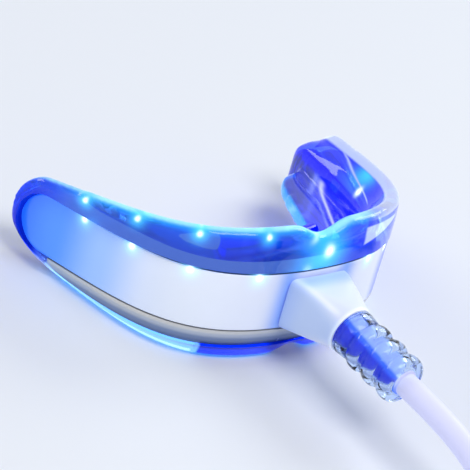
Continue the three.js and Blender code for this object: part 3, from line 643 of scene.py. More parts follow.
neck_rows = [neck_row(0, UNIT_DEPTH / 2)]
neck_rows += [neck_row(k / 24, -(NECK_LENGTH - NECK_MOUTH_EDGE) * k / 24) for k in range(25)]
neck = laid_grid("cable_horn", neck_rows)
take(neck)
bpy.ops.object.mode_set(mode="EDIT")
bpy.ops.mesh.select_all(action="DESELECT")
bpy.ops.object.mode_set(mode="OBJECT")
for face in neck.data.polygons:
    face.select = face.normal.y < -0.99 and face.area > (NECK_MOUTH * MM) ** 2
bpy.ops.object.mode_set(mode="EDIT")
bpy.ops.mesh.extrude_region_move(TRANSFORM_OT_translate={"value": (0, -NECK_MOUTH_EDGE * MM, 0)})
bpy.ops.mesh.select_mode(type="FACE")
bpy.ops.transform.resize(value=(0.96, 1, 0.96))
bpy.ops.object.mode_set(mode="OBJECT")
carve(neck, plain_band("seat", -CLEARANCE, UNIT_DEPTH + 0.2, 0.1))
drilled(neck, 3.4, -1.3, 1.0)
deselect()
bpy.ops.mesh.primitive_cylinder_add(
    vertices=64, radius=2.1 * MM, depth=3.749 * MM, location=place(0, -0.4255, neck_height),
    rotation=(math.pi / 2, 0, 0),
)
carve(neck, settle(named("spigot")), "UNION")
drilled(neck, 1.5, -NECK_LENGTH, 3.0)
drilled(neck, 3.35, -NECK_LENGTH - 1, -NECK_LENGTH + CORE_SEAT + CLEARANCE)
drilled(neck, 3.8, -NECK_LENGTH - 1, -NECK_LENGTH + BOOT_SEAT)
outward(neck)
smooth(neck, 30)
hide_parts("cable_neck")
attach(neck, "light_unit")


# Strain relief: a pale tapered core with fine rings, in a clear boot with three round ribs
def core_radius(y):
    share = min(max((-NECK_LENGTH - y) / RELIEF_LENGTH, 0), 1)
    return CORE_REAR + (CORE_END - CORE_REAR) * share


core_rear = -NECK_LENGTH + CORE_SEAT
crimp_front = core_rear - CRIMP_LENGTH - CLEARANCE
core_profile = [(0, core_rear), (2.0, core_rear), (2.0, crimp_front), (CORE_REAR, crimp_front)]
ring_count = 84
for k in range(ring_count + 1):
    y = -NECK_LENGTH + (relief_end + NECK_LENGTH) * k / ring_count
    groove = 0.12 * max(math.sin(2 * math.pi * 7 * k / ring_count), 0) ** 4
    core_profile.append((core_radius(y) - groove, y))
core_profile.append((0, relief_end))
core = smooth(turned("strain_core_taper", core_profile, 0, neck_height, 72), 40)
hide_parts("strain_core")
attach(core, "light_unit")

boot_rear = -NECK_LENGTH + BOOT_SEAT - CLEARANCE
last_rib = relief_end + RIB_HALF
first_rib = last_rib + RIB_PITCH * 2
boot_profile = [
    (CORE_REAR + CLEARANCE, boot_rear), (3.4, boot_rear), (3.5, boot_rear - 0.1),
    (3.5, -NECK_LENGTH - CLEARANCE), (4.0, -NECK_LENGTH - CLEARANCE), (4.1, -NECK_LENGTH - CLEARANCE - 0.1),
]
boot_profile.append((RIB_VALLEY + CLEARANCE, first_rib + RIB_HALF + CLEARANCE))
for rib in range(3):
    for k in range(17):
        a = math.pi * k / 16
        radius = RIB_VALLEY + (RIB_RADIUS - RIB_VALLEY) * math.sin(a)
        boot_profile.append((radius, first_rib - RIB_PITCH * rib + RIB_HALF * math.cos(a)))
boot_profile += [(CORE_END + CLEARANCE, relief_end), (CORE_REAR + CLEARANCE, -NECK_LENGTH)]
boot_profile.append(boot_profile[0])
boot = smooth(turned("clear_ribbed_boot", boot_profile, 0, neck_height, 96), 50)
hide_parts("ribbed_boot")
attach(boot, "light_unit")


# Wires from the cord to the board
wire_from = core_rear + CLEARANCE
wire_to = BAND_MIDDLE * math.sin(tilt) + COVER_WALL
for side, wire_name, insulation in (
    (1, "wire_red", "red_insulation"), (-1, "wire_black", "black_insulation"),
):
    wire_line = []
    for k in range(4):
        sag = CLEARANCE if k in (1, 2) else 0
        wire_line.append(place(side * 0.8, wire_from + (wire_to - wire_from) * k / 3, neck_height - sag))
    wire = tube(wire_name + "_lead", wire_line, 0.4, 4, 8)
    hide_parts(wire_name)
    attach(wire, "light_unit")

# Cord ends: relief, body and shell of the plug
plug_start = tail_start + TAIL_LENGTH + CLEARANCE
relief_profile = [(0, plug_start), (2.2, plug_start), (2.5, plug_start + 0.3)]
for k in range(3):
    base = 2.5 + 0.5 * (2 * k + 1) / 7
    start = plug_start + PLUG_RELIEF_STEP * (2 * k + 1)
    relief_profile += [
        (base, start - 0.12), (base - 0.12, start), (base - 0.5, start + 0.12),
        (base - 0.5, start + PLUG_RELIEF_STEP - 0.12), (base - 0.1, start + PLUG_RELIEF_STEP),
        (base, start + PLUG_RELIEF_STEP + 0.12),
    ]
relief_end_y = plug_start + PLUG_RELIEF_LENGTH
relief_profile += [(2.9, relief_end_y - 0.1), (2.8, relief_end_y), (0, relief_end_y)]
plug_relief = smooth(turned("plug_bend_relief", relief_profile, tail_x, PLUG_HEIGHT, 64), 35)


def rounded_row(y, width, height, corner, shrink=0.0, steps=8):
    row = []
    for cx, cz, first in ((1, 1, 0), (-1, 1, 1), (-1, -1, 2), (1, -1, 3)):
        for k in range(steps):
            a = math.pi / 2 * (first + k / (steps - 1))
            r = max(corner - shrink, 0.05)
            x = cx * (width / 2 - corner) + r * math.cos(a)
            z = cz * (height / 2 - corner) + r * math.sin(a)
            row.append(place(tail_x + x, y, PLUG_HEIGHT + z))
    return row


body_start = plug_start + PLUG_RELIEF_LENGTH + CLEARANCE
body_end = body_start + PLUG_BODY_LENGTH
body_rows = [
    rounded_row(body_start + PLUG_BODY_EDGE * (1 - math.cos(a)), *PLUG_BODY,
                PLUG_BODY_EDGE * (1 - math.sin(a)))
    for a in quarter(7)
]
for rib in range(6):
    for k in range(7):
        y = body_start + 4.5 + 1.6 * rib + 1.6 * k / 6
        body_rows.append(rounded_row(y, *PLUG_BODY, 0.35 * math.sin(math.pi * k / 6) ** 2))
body_rows += [
    rounded_row(body_end - PLUG_BODY_EDGE * (1 - math.sin(a)), *PLUG_BODY, PLUG_BODY_EDGE * (1 - math.cos(a)))
    for a in quarter(7)
]
plug_body = laid_grid("plug_grip", body_rows)
deselect()
bpy.ops.mesh.primitive_cube_add(size=MM, location=place(tail_x, body_start + 19, PLUG_HEIGHT))
bpy.ops.transform.resize(value=(12.6, 5.6, 5.1))
carve(plug_body, settle(named("shell_seat")))
outward(plug_body)
smooth(plug_body, 35)

shell_start = body_end - PLUG_SHELL_SEAT
shell_end = shell_start + PLUG_SHELL_LENGTH
shell_rows = [rounded_row(y, *PLUG_SHELL, 0, 5) for y in (shell_start, shell_end)]
plug_shell = laid_grid("plug_metal_shell", shell_rows)
inner_rows = [rounded_row(y, *PLUG_BORE, 0, 5) for y in (shell_start - 1, shell_end + 1)]
carve(plug_shell, laid_grid("shell_bore", inner_rows))
for side in (-1, 1):
    deselect()
    bpy.ops.mesh.primitive_cube_add(
        size=MM, location=place(tail_x + side * 2.9, shell_start + 8.5, PLUG_HEIGHT + 2.5),
    )
    bpy.ops.transform.resize(value=(2.2, 2.4, 2))
    carve(plug_shell, settle(named("shell_window")))
outward(plug_shell)
smooth(cleaned(bevelled(plug_shell, 0.08)), 35)

# Tie: a flat rubber strap round the coil
inner_most = COIL_OUTER - COIL_PITCH * COIL_TURNS / 2 - CORD_RADIUS
outer_most = COIL_OUTER + CORD_RADIUS
strap_width = outer_most - inner_most + 2 * CLEARANCE + STRAP_WALL
strap_height = COIL_PITCH + 2 * CORD_RADIUS + 2 * CLEARANCE + STRAP_WALL
strap_y = coil_y - (inner_most + outer_most) / 2
strap_z = COIL_BASE + COIL_PITCH / 2
strap_points = []
for cy, cz, first in ((1, 1, 0), (-1, 1, 1), (-1, -1, 2), (1, -1, 3)):
    for k in range(9):
        a = math.pi / 2 * (first + k / 8)
        strap_points.append((cy * (strap_width / 2 - STRAP_ROUND) + STRAP_ROUND * math.cos(a),
                             cz * (strap_height / 2 - STRAP_ROUND) + STRAP_ROUND * math.sin(a)))
deselect()
bpy.ops.mesh.primitive_circle_add(vertices=len(strap_points), radius=MM, fill_type="NOTHING")
tie = named("coil_strap")
for vertex, (y, z) in zip(tie.data.vertices, strap_points):
    vertex.co = place(coil_x - STRAP_WIDTH / 2, strap_y + y, strap_z + z)
bpy.ops.object.mode_set(mode="EDIT")
bpy.ops.mesh.select_all(action="SELECT")
bpy.ops.mesh.extrude_region_move(TRANSFORM_OT_translate={"value": (STRAP_WIDTH * MM, 0, 0)})
bpy.ops.object.mode_set(mode="OBJECT")
outward(tie)
changed(tie, "SOLIDIFY", thickness=STRAP_WALL * MM, offset=0)
smooth(bevelled(tie, 0.14), 35)

for piece, node, slot in (
    (plug_relief, "plug_relief", "plug_plastic"), (plug_body, "plug_body", "plug_plastic"),
    (plug_shell, "plug_shell", "shell_steel"), (tie, "coil_tie", "tie_rubber"),
):
    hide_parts(node)
    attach(piece, "light_unit")

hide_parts("cord_stretch", "cord_coil", "cord_tail")
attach(cord, "light_unit")


# Where each point of a piece lies on the arch, for the light and colour that follow it
inner_edge = []
for (x1, y1), (x2, y2) in zip(outline, outline[1:]):
    steps = max(int(math.hypot(x2 - x1, y2 - y1) / 0.25), 1)
    inner_edge += [(x1 + (x2 - x1) * k / steps, y1 + (y2 - y1) * k / steps) for k in range(steps) if x1 >= 0]
inner_edge = np.array(inner_edge)


CHUNK = 4000
KNOT_STEP = 4
FAR_OFF = 9.0


def measured(piece):
    count = len(piece.data.vertices)
    spots = np.empty(count * 3, np.float32)
    piece.data.vertices.foreach_get("co", spots)
    spots = spots.reshape(-1, 3) / MM
    c, s = math.cos(tilt), math.sin(tilt)
    y, z = spots[:, 1] - FRONT_SHIFT, spots[:, 2] - LIFT_FRONT
    flat = np.stack([np.abs(spots[:, 0]), y * c - z * s], 1)
    height = y * s + z * c
    arc, inset, share = (np.empty(count, np.float32) for _ in range(3))
    knots = curve_points[::KNOT_STEP]
    for first in range(0, count, CHUNK):
        part = flat[first:first + CHUNK]
        away = np.linalg.norm(part[:, None] - knots[None], axis=2)
        nearest = np.argmin(away, axis=1) * KNOT_STEP
        tangent = curve_tangents[nearest]
        tangent = tangent / np.linalg.norm(tangent, axis=1)[:, None]
        offset = part - curve_points[nearest]
        arc[first:first + CHUNK] = curve_lengths[nearest] + (offset * tangent).sum(1)
        inset[first:first + CHUNK] = offset[:, 1] * tangent[:, 0] - offset[:, 0] * tangent[:, 1]
        share[first:first + CHUNK] = curve_points[nearest][:, 1] / DEPTH
    past = np.clip((arc - (ARCH_LENGTH - TIP_TOP_ROUND)) / TIP_TOP_ROUND, 0, 1)
    top = RIM_HEIGHT_FRONT + (RIM_HEIGHT_TIP - RIM_HEIGHT_FRONT) * share
    low = flat[:, 1] * math.tan(tilt) - LIFT_FRONT / math.cos(tilt)
    middle = (top + low) / 2
    notch_depth = UPPER_NOTCH[0] * 0.5 * (1 + np.cos(np.pi * np.clip(arc / UPPER_NOTCH[1], 0, 1)))
    rim = middle + (top - middle) * np.sqrt(1 - past * past) - notch_depth
    ending = np.clip((arc - (BAND_END - BAND_MIDDLE)) / BAND_MIDDLE, 0, 1)
    edge = BAND_MIDDLE * np.sqrt(1 - ending * ending) - np.abs(height - BAND_MIDDLE)
    rim_middle = RIM_INSET_FRONT + (RIM_INSET_TIP - RIM_INSET_FRONT) * share + RIM_THICKNESS / 2
    wall_middle = TRAY_WALL / 2 + BAND_TIP_INSET * share
    climb = np.clip((height - BAND_HEIGHT) / (top - BAND_HEIGHT), 0, 1)
    wall_side = inset - (wall_middle + (rim_middle - wall_middle) * climb)
    plate_edge = np.full(count, FAR_OFF, np.float32)
    near = np.nonzero((inset > 7) & (np.abs(height - PLATE_LOW - PLATE_THICK / 2) < 2.2))[0]
    for first in range(0, len(near), CHUNK):
        part = near[first:first + CHUNK]
        plate_edge[part] = np.linalg.norm(flat[part][:, None] - inner_edge[None], axis=2).min(axis=1)
    arc = arc * np.where(spots[:, 0] < 0, -1, 1)
    for name, values in (("arc", arc), ("inset", inset), ("height", height), ("below_rim", rim - height),
                         ("above_foot", height - low), ("band_edge", edge), ("wall_side", wall_side),
                         ("plate_edge", plate_edge)):
        layer = piece.data.attributes.new(name, "FLOAT", "POINT")
        layer.data.foreach_set("value", np.asarray(values, np.float32))


for piece in (tray, cover, bezel, window):
    measured(piece)


# Materials
class Value:
    """A number in a node tree. Arithmetic on it adds the math nodes that work it out."""

    def __init__(self, tree, socket):
        self.tree, self.socket = tree, socket

    def calc(self, operation, *others):
        return calc(self.tree, operation, self, *others)

    def __add__(self, other):
        return self.calc("ADD", other)

    def __sub__(self, other):
        return self.calc("SUBTRACT", other)

    def __rsub__(self, other):
        return calc(self.tree, "SUBTRACT", other, self)

    def __mul__(self, other):
        return self.calc("MULTIPLY", other)

    def __truediv__(self, other):
        return self.calc("DIVIDE", other)

    def __pow__(self, power):
        return self.calc("POWER", power)

    def __abs__(self):
        return self.calc("ABSOLUTE")


def as_socket(tree, value, target):
    """Joins a value to a socket, or sets the socket to a number or a colour."""
    if isinstance(value, Value):
        value = value.socket
    if isinstance(value, bpy.types.NodeSocket):
        tree.links.new(value, target)
    elif target.type == "RGBA":
        target.default_value = (*value, 1)
    else:
        target.default_value = value


def calc(tree, operation, *values):
    node = tree.nodes.new("ShaderNodeMath")
    node.operation = operation
    for target, value in zip(node.inputs, values):
        as_socket(tree, value, target)
    return Value(tree, node.outputs[0])


def reading(tree, name):
    node = tree.nodes.new("ShaderNodeAttribute")
    node.attribute_name = name
    return Value(tree, node.outputs["Fac"])


def ramp(tree, value, *stops):
    node = tree.nodes.new("ShaderNodeValToRGB")
    node.color_ramp.interpolation = "EASE"
    while len(node.color_ramp.elements) < len(stops):
        node.color_ramp.elements.new(0.5)
    for element, (at, color) in zip(node.color_ramp.elements, stops):
        element.position = at
        element.color = (*color, 1)
    as_socket(tree, value, node.inputs["Fac"])
    return node.outputs["Color"]


def mixed(tree, share, a, b, blend="MIX"):
    node = tree.nodes.new("ShaderNodeMix")
    node.data_type = "RGBA"
    node.blend_type = blend
    for socket, value in ((node.inputs[0], share), (node.inputs[6], a), (node.inputs[7], b)):
        as_socket(tree, value, socket)
    return node.outputs[2]


def layered(tree, color, *layers):
    """Colours laid over a first one, each where its share is 1."""
    for share, over in layers:
        color = mixed(tree, share, color, over)
    return color


def noise(tree, where, scale, detail, distortion=0.0):
    node = tree.nodes.new("ShaderNodeTexNoise")
    for label, value in (("Vector", where), ("Scale", scale), ("Detail", detail), ("Distortion", distortion)):
        as_socket(tree, value, node.inputs[label])
    return Value(tree, node.outputs["Fac"])


def new_group(name, inputs, outputs):
    group = bpy.data.node_groups.new(name, "ShaderNodeTree")
    for label, value in inputs.items():
        kind = "NodeSocketColor" if isinstance(value, tuple) else "NodeSocketFloat"
        group.interface.new_socket(label, in_out="INPUT", socket_type=kind).default_value = value
    for label, kind in outputs.items():
        group.interface.new_socket(label, in_out="OUTPUT", socket_type=kind)
    given = {socket.name: Value(group, socket) for socket in group.nodes.new("NodeGroupInput").outputs}
    return group, given, group.nodes.new("NodeGroupOutput").inputs


def with_group(tree, group, values):
    """Uses a node group, with its sockets joined or set."""
    node = tree.nodes.new("ShaderNodeGroup")
    node.node_tree = group
    for label, value in values.items():
        as_socket(tree, value, node.inputs[label])
    return node.outputs


# Moulded surface: slow change of tone, and a fine grain
moulded, given, put = new_group(
    "moulded_surface",
    {"Color": (1, 1, 1, 1), "Roughness": 0.4, "Tone Change": 0.06, "Roughness Change": 0.1,
     "Grain Scale": 900.0, "Wear": 0.1},
    {"Color": "NodeSocketColor", "Roughness": "NodeSocketFloat", "Height": "NodeSocketFloat"},
)
where = moulded.nodes.new("ShaderNodeTexCoord").outputs["Object"]
slow, rub = noise(moulded, where, 90, 4), noise(moulded, where, 700, 6, 0.4)
rubbed = ((rub - 0.58) * 6.0).calc("SMOOTH_MAX", 0.0, 0.1) * given["Wear"]
toned = moulded.nodes.new("ShaderNodeVectorMath")
toned.operation = "SCALE"
as_socket(moulded, given["Color"], toned.inputs[0])
as_socket(moulded, (slow - 0.5) * given["Tone Change"] + 1.0 - rubbed * 0.25, toned.inputs["Scale"])
as_socket(moulded, toned.outputs[0], put["Color"])
as_socket(moulded, given["Roughness"] + (rub - 0.5) * given["Roughness Change"] + rubbed, put["Roughness"])
as_socket(moulded, noise(moulded, where, given["Grain Scale"], 3), put["Height"])

# Painted lamp glints: a painted bright point of the light chips' light at each of these places along the
# arch, fading with distance from its row
GLINT_ARCS = (12.2, 23.9, 34.2, 43.8)
glint_group, given, put = new_group(
    "painted_lamp_glints", {"Arc": 0.0, "Across": 0.0, "Size": 1.0}, {"Value": "NodeSocketFloat"},
)
folded = abs(given["Arc"])
along = abs(folded - GLINT_ARCS[0])
for glint_arc in GLINT_ARCS[1:]:
    along = along.calc("MINIMUM", abs(folded - glint_arc))
spread = (along ** 2.0 + given["Across"] ** 2.0) / given["Size"] ** 2.0
as_socket(glint_group, (spread * -1.0).calc("EXPONENT"), put["Value"])


def finish(name, color, roughness=0.4, tone=0.06, change=0.1, grain_scale=900.0, bump=0.05, wear=0.1,
           **fixed):
    """A Principled material whose colour, roughness and bump come through the moulded surface."""
    material = bpy.data.materials.new(name)
    material.use_nodes = True
    tree = material.node_tree
    shader = tree.nodes["Principled BSDF"]
    surface = with_group(tree, moulded, {
        "Roughness": roughness, "Tone Change": tone, "Roughness Change": change, "Grain Scale": grain_scale,
        "Wear": wear, "Color": color(tree) if callable(color) else color,
    })
    tree.links.new(surface["Color"], shader.inputs["Base Color"])
    tree.links.new(surface["Roughness"], shader.inputs["Roughness"])
    relief = tree.nodes.new("ShaderNodeBump")
    relief.inputs["Strength"].default_value = bump
    relief.inputs["Distance"].default_value = 0.0001
    tree.links.new(surface["Height"], relief.inputs["Height"])
    tree.links.new(relief.outputs["Normal"], shader.inputs["Normal"])
    for label, value in fixed.items():
        shader.inputs[label.replace("_", " ")].default_value = value
    return material


# Painted glints of the light chips along the arch
def painted_glints_of(tree, across, size):
    values = {"Arc": reading(tree, "arc"), "Across": across, "Size": size}
    return Value(tree, with_group(tree, glint_group, values)["Value"])


def lit(material, light, strength=1.0):
    tree = material.node_tree
    shader = tree.nodes["Principled BSDF"]
    tree.links.new(light(tree), shader.inputs["Emission Color"])
    shader.inputs["Emission Strength"].default_value = strength
    return material


def far_share(tree):
    """0 at the front, 1 at the tips of the arms."""
    return abs(reading(tree, "arc")) / ARCH_LENGTH


def bell(value, middle, width):
    """1 where the value is at its middle, fading out within about its width."""
    off = (value - middle) / width
    return (off ** 2.0 * -1.0).calc("EXPONENT")


def step_up(value, low, high):
    """0 up to the low end, 1 from the high end, with a soft change between."""
    node = value.tree.nodes.new("ShaderNodeMapRange")
    node.interpolation_type = "SMOOTHSTEP"
    for label, given_value in (("Value", value), ("From Min", low), ("From Max", high)):
        as_socket(value.tree, given_value, node.inputs[label])
    return Value(value.tree, node.outputs["Result"])


def spot_in(tree):
    """X, Y and Z of the point, in millimetres."""
    split = tree.nodes.new("ShaderNodeSeparateXYZ")
    tree.links.new(tree.nodes.new("ShaderNodeTexCoord").outputs["Object"], split.inputs[0])
    return [Value(tree, split.outputs[axis]) / MM for axis in "XYZ"]


# Where the light and the colours of the silicone begin and end: along the arch, or in height
RIGHT_ARM = (8.0, 18.0)
FOOT_HIGHLIGHT_ARCS = (18.6, 19.2)
FOOT_TOP = (-1.2, -0.4)
RIM_TOP = (0.7, 1.1)
PLATE_FOLD = ((28.75, 25.67), (19.17, 9.59))
CENTRE_GLOW = (0.9, 13.6)


def from_fold(tree):
    """Distance inward from the fold that runs along the right half of the bite plate."""
    x, y, _ = spot_in(tree)
    (x1, y1), (x2, y2) = PLATE_FOLD
    length = math.hypot(x2 - x1, y2 - y1)
    return (x - x1) * ((y2 - y1) / length) - (y - y1) * ((x2 - x1) / length)


def right_plate(tree):
    return (1 - step_up(reading(tree, "height"), 8.0, 9.0)) * step_up(reading(tree, "arc"), 20.0, 26.0)


def ridge_share(tree):
    """1 on the low ridge behind the front teeth."""
    share = step_up(reading(tree, "inset"), RIDGE_INSET - 1.2, RIDGE_INSET - 0.5)
    share *= step_up(reading(tree, "height"), PLATE_TOP - 0.2, PLATE_TOP + 0.4)
    return share * (1 - step_up(abs(reading(tree, "arc")), 15.0, 16.0))


def silicone_light(tree):
    below, arc, inset, height = (reading(tree, name) for name in ("below_rim", "arc", "inset", "height"))
    far = abs(arc)
    right_arm = step_up(arc, *RIGHT_ARM)
    left_side = 1 - step_up(arc, 6.0, 9.0)
    inner_side = step_up(reading(tree, "wall_side"), 0.0, 0.7)
    outer_side = 1 - inner_side
    # On the right arm the outer wall gets a faint painted glow and the inner wall a deep blue painted glow.
    inner_right = inner_side * step_up(arc, 4.0, 10.0) * step_up(below, 0.5, 1.3)
    # A faint painted glow through the wall, a brighter painted glow along the rim with a thin painted
    # highlight on its top, and a pale painted reflection on the right outer wall
    glow = mixed(tree, bell(below, 0.0, 3.2), (0.0, 0.006, 0.05), (0.0, 0.04, 0.22))
    painted_rim_glow = bell(below, 0.0, 0.7) * (1 - step_up(far, 43.0, 51.0)) * (1 - right_arm)
    painted_rim_highlight = bell(below, 0.0, 0.22) * (1 - right_arm)
    painted_reflection_panel = step_up(height - ((arc - 8.5) * 0.2 + 12.8), -0.1, 0.3) * step_up(below, 1.6, 2.0)
    painted_reflection_panel = painted_reflection_panel * (step_up(arc, 9.0, 9.8) - step_up(arc, 19.0, 21.0)) * outer_side
    # Foot: a pale painted highlight along the arms, with a bright painted highlight along its lower edge
    foot = (1 - step_up(height, *FOOT_TOP)) * (1 - step_up(inset, 2.5, 3.5)) * step_up(far, *FOOT_HIGHLIGHT_ARCS)
    foot_edge_highlight = bell(reading(tree, "above_foot"), 0.0, 0.35)
    # Painted glints of the light chips behind the rim, and on the plate inside the right arm a faint painted
    # glow, a painted highlight along the fold and a painted glow along its inner edge
    row = below - 0.9
    halo = painted_glints_of(tree, row, 1.3) * left_side
    fold, plate = from_fold(tree), right_plate(tree)
    plate_edge = bell(reading(tree, "plate_edge"), 0.0, 0.35)
    # Ridge: a painted glow that shows it through the wall, brighter on its upper part and its ends, with a
    # dark painted shade line at its base
    ridge = ridge_share(tree)
    ridge_edge_glow = step_up(height, RIDGE_TOP - 2.0, RIDGE_TOP - 1.7).calc("MAXIMUM", step_up(far, 13.0, 13.3))
    ridge_base_shade = bell(height, PLATE_TOP + 0.3, 0.25)
    # Painted glow of the lamp at the centre and of the one inside the right arm
    glint_arc, glint_height = CENTRE_GLOW
    centre = bell(arc, glint_arc, 3.5) * bell(height, glint_height, 3.0)
    inside = bell(arc, 36.5, 3.2) * bell(height, 14.5, 2.0) * inner_right
    # Painted highlights: a pale one on the right arm's rim top, and a thin line on its inner wall
    rim_top_highlight = (1 - step_up(below, *RIM_TOP)) * right_arm
    inner_wall_highlight = bell(height - (arc * 0.04 + 11.5), 0.0, 0.13) * inner_right
    inner_wall_highlight = inner_wall_highlight * (step_up(arc, 27.0, 30.0) - step_up(arc, 46.0, 49.0))
    # Painted glints: small bright points at the centre lamp, on the right arm's inner wall and along the rim
    centre_glint = bell(arc, glint_arc, 0.9) * bell(height, glint_height, 0.9)
    inner_glint = bell(arc, 34.0, 0.7) * bell(height, 12.2, 0.7) * inner_right
    outer_glints = painted_glints_of(tree, row, 0.4) * left_side
    return layered(
        tree, glow,
        (painted_rim_glow, (0.0, 0.34, 0.80)), (painted_rim_highlight, (0.35, 0.85, 1.0)),
        (right_arm * outer_side, (0.0, 0.002, 0.10)),
        (painted_reflection_panel, (0.50, 0.58, 0.80)), (foot, (0.18, 0.29, 0.44)), (foot_edge_highlight, (0.03, 0.36, 0.95)),
        (halo, (0.05, 0.62, 0.95)), (inner_right, (0.0, 0.002, 0.34)),
        (plate * step_up(fold, 0.0, 0.3), (0.02, 0.03, 0.12)),
        (plate * bell(fold, 0.0, 0.3), (0.55, 0.60, 0.75)),
        (plate_edge, (0.02, 0.40, 0.75)), (ridge, (0.05, 0.07, 0.34)),
        (ridge * ridge_edge_glow, (0.0, 0.004, 0.95)),
        (ridge * ridge_base_shade, (0.0, 0.0, 0.05)), (centre.calc("MAXIMUM", inside), (0.02, 0.62, 0.9)),
        (rim_top_highlight, (0.46, 0.52, 0.62)), (inner_wall_highlight, (0.40, 0.48, 0.75)),
        (centre_glint.calc("MAXIMUM", inner_glint).calc("MAXIMUM", outer_glints), (1.6, 1.9, 2.0)),
    )


def silicone_color(tree):
    arc = reading(tree, "arc")
    far = abs(arc)
    # Painted light and shade: the wall is paler and greyer on the left half and deeper blue on the right half
    inner = mixed(tree, step_up(arc, 6.0, 14.0), (0.06, 0.13, 0.52), (0.004, 0.02, 0.85))
    outer = mixed(tree, step_up(arc, 10.0, 20.0), (0.08, 0.17, 0.50), (0.004, 0.02, 0.62))
    # The foot along the arms is painted pale as a painted highlight, and so is the rim top of the right arm
    foot = mixed(tree, step_up(far, *FOOT_HIGHLIGHT_ARCS), (0.002, 0.008, 0.72), (0.48, 0.64, 0.86))
    rim_top = (1 - step_up(reading(tree, "below_rim"), *RIM_TOP)) * step_up(arc, *RIGHT_ARM)
    return layered(
        tree, outer, (step_up(reading(tree, "wall_side"), 0.3, 0.9), inner),
        (right_plate(tree) * step_up(from_fold(tree), 0.0, 0.4), (0.09, 0.13, 0.5)),
        (ridge_share(tree), (0.0, 0.006, 0.4)), (1 - step_up(reading(tree, "height"), *FOOT_TOP), foot),
        (step_up(far, 46.0, 54.0), (0.003, 0.012, 0.6)), (rim_top, (0.35, 0.40, 0.50)),
    )


silicone = lit(finish(
    "clear_blue_silicone", silicone_color, 0.04, 0.1, 0.05, 500, 0.02, 0.02,
    Transmission_Weight=1.0, IOR=1.12, Coat_Weight=0.75, Coat_Roughness=0.03,
), silicone_light)


def edge_shade_line(tree, color, width=0.09):
    """Paints a thin dark line of shade along the band's edge over a colour."""
    past_line = step_up(reading(tree, "band_edge"), width * 0.6, width * 1.4)
    return mixed(tree, past_line, (0.004, 0.008, 0.03), color)


def band_color(tree):
    arc = reading(tree, "arc")
    # Painted light and shade: pale in the middle, greyer at the front, going to deep blue toward the tips
    color = ramp(tree, far_share(tree), (0.0, (0.70, 0.74, 0.95)), (0.2, (0.84, 0.87, 0.98)),
                 (0.52, (0.86, 0.90, 1.0)), (0.68, (0.46, 0.64, 1.0)), (0.84, (0.10, 0.31, 1.0)),
                 (1.0, (0.02, 0.17, 1.0)))
    # Painted shade: blue on the right end and beside the neck
    shade_beside_neck = bell(abs(arc), 6.3, 2.0) * 0.8
    return edge_shade_line(tree, layered(tree, color, (step_up(arc, 15.5, 20.0), (0.02, 0.10, 0.90)),
                                   (shade_beside_neck, (0.10, 0.32, 1.0))))


def on_horn(tree):
    """How far a point is from the horn's root, and its places to the left and up, 1 at the faces."""
    x, y, z = spot_in(tree)
    out = (FRONT_SHIFT - y) / NECK_LENGTH
    wide, tall = (out * (NECK_MOUTH - root) + root for root in NECK_ROOT)
    return out, x * -1.0 / wide, (z - neck_height) / tall


def horn_color(tree):
    out, left, _ = on_horn(tree)
    # Painted shade: the left face bluer, and the root deep blue where it meets the band
    face = mixed(tree, step_up(left, 0.72, 0.95), (0.84, 0.87, 1.0), (0.62, 0.74, 1.0))
    return mixed(tree, step_up(out, 0.0, 0.35), (0.50, 0.64, 1.0), face)


def horn_light(tree):
    out, left, up = on_horn(tree)
    # Painted highlights along the edge between the left and top faces and round the mouth, over a faint
    # painted glow
    ridge = bell(left - up, 0.0, 0.16) * step_up(left, 0.4, 0.6) * (1 - step_up(out, 0.7, 1.0))
    return mixed(tree, ridge.calc("MAXIMUM", bell(out, 1.0, 0.05)), (0.03, 0.05, 0.09), (0.20, 0.22, 0.24))


def band_light(tree):
    # Painted light on the band: a faint glow, bluer toward the tips, and painted glints of the chips along
    # its top edge, one more on the right
    top = reading(tree, "height") - (BAND_HEIGHT - 0.5)
    right_glint = bell(reading(tree, "arc"), 18.4, 0.6) * bell(top, 0.0, 0.6)
    glow = ramp(tree, far_share(tree), (0.0, (0.04, 0.05, 0.08)), (0.4, (0.10, 0.12, 0.14)),
                (0.75, (0.01, 0.09, 0.32)), (1.0, (0.0, 0.06, 0.5)))
    return layered(tree, edge_shade_line(tree, glow), (painted_glints_of(tree, top, 1.4), (0.12, 0.5, 0.85)),
                   (painted_glints_of(tree, top, 0.5).calc("MAXIMUM", right_glint), (1.5, 1.8, 2.0)))


white = lit(finish("white_band_plastic", band_color, 0.28, 0.03, 0.02, 1400, 0.0, 0.0,
                   Coat_Weight=0.4, Coat_Roughness=0.12), band_light)
horn_white = lit(finish("white_horn_plastic", horn_color, 0.3, 0.03, 0.02, 1400, 0.0, 0.0,
                        Coat_Weight=0.35, Coat_Roughness=0.15), horn_light)


def bevel_color(tree):
    # Painted shade: pale on top and dark toward the lower edge, greyer toward the front
    along = ramp(tree, far_share(tree), (0.0, (0.62, 0.68, 0.80)), (0.3, (0.85, 0.88, 0.95)),
                 (0.6, (1.0, 1.0, 1.0)), (0.85, (0.80, 0.90, 1.0)))
    across = ramp(tree, reading(tree, "height") * (-1 / BEZEL_DROP), (0.0, (0.80, 0.78, 0.72)),
                  (0.14, (0.80, 0.78, 0.72)), (0.35, (0.55, 0.60, 0.68)), (0.62, (0.20, 0.28, 0.46)),
                  (0.93, (0.07, 0.12, 0.28)), (1.0, (0.01, 0.014, 0.04)))
    return mixed(tree, 1.0, along, across, "MULTIPLY")


grey = finish("bevel_metal_painted_shade", bevel_color, 0.24, 0.05, 0.05, 1200, 0.02, 0.02,
              Metallic=0.1, Coat_Weight=0.4, Coat_Roughness=0.06)
clear = finish("clear_window_plastic", (0.55, 0.75, 1.0), 0.06, 0.05, 0.05, 700, 0.02, 0.03,
               Transmission_Weight=1.0, IOR=1.49)


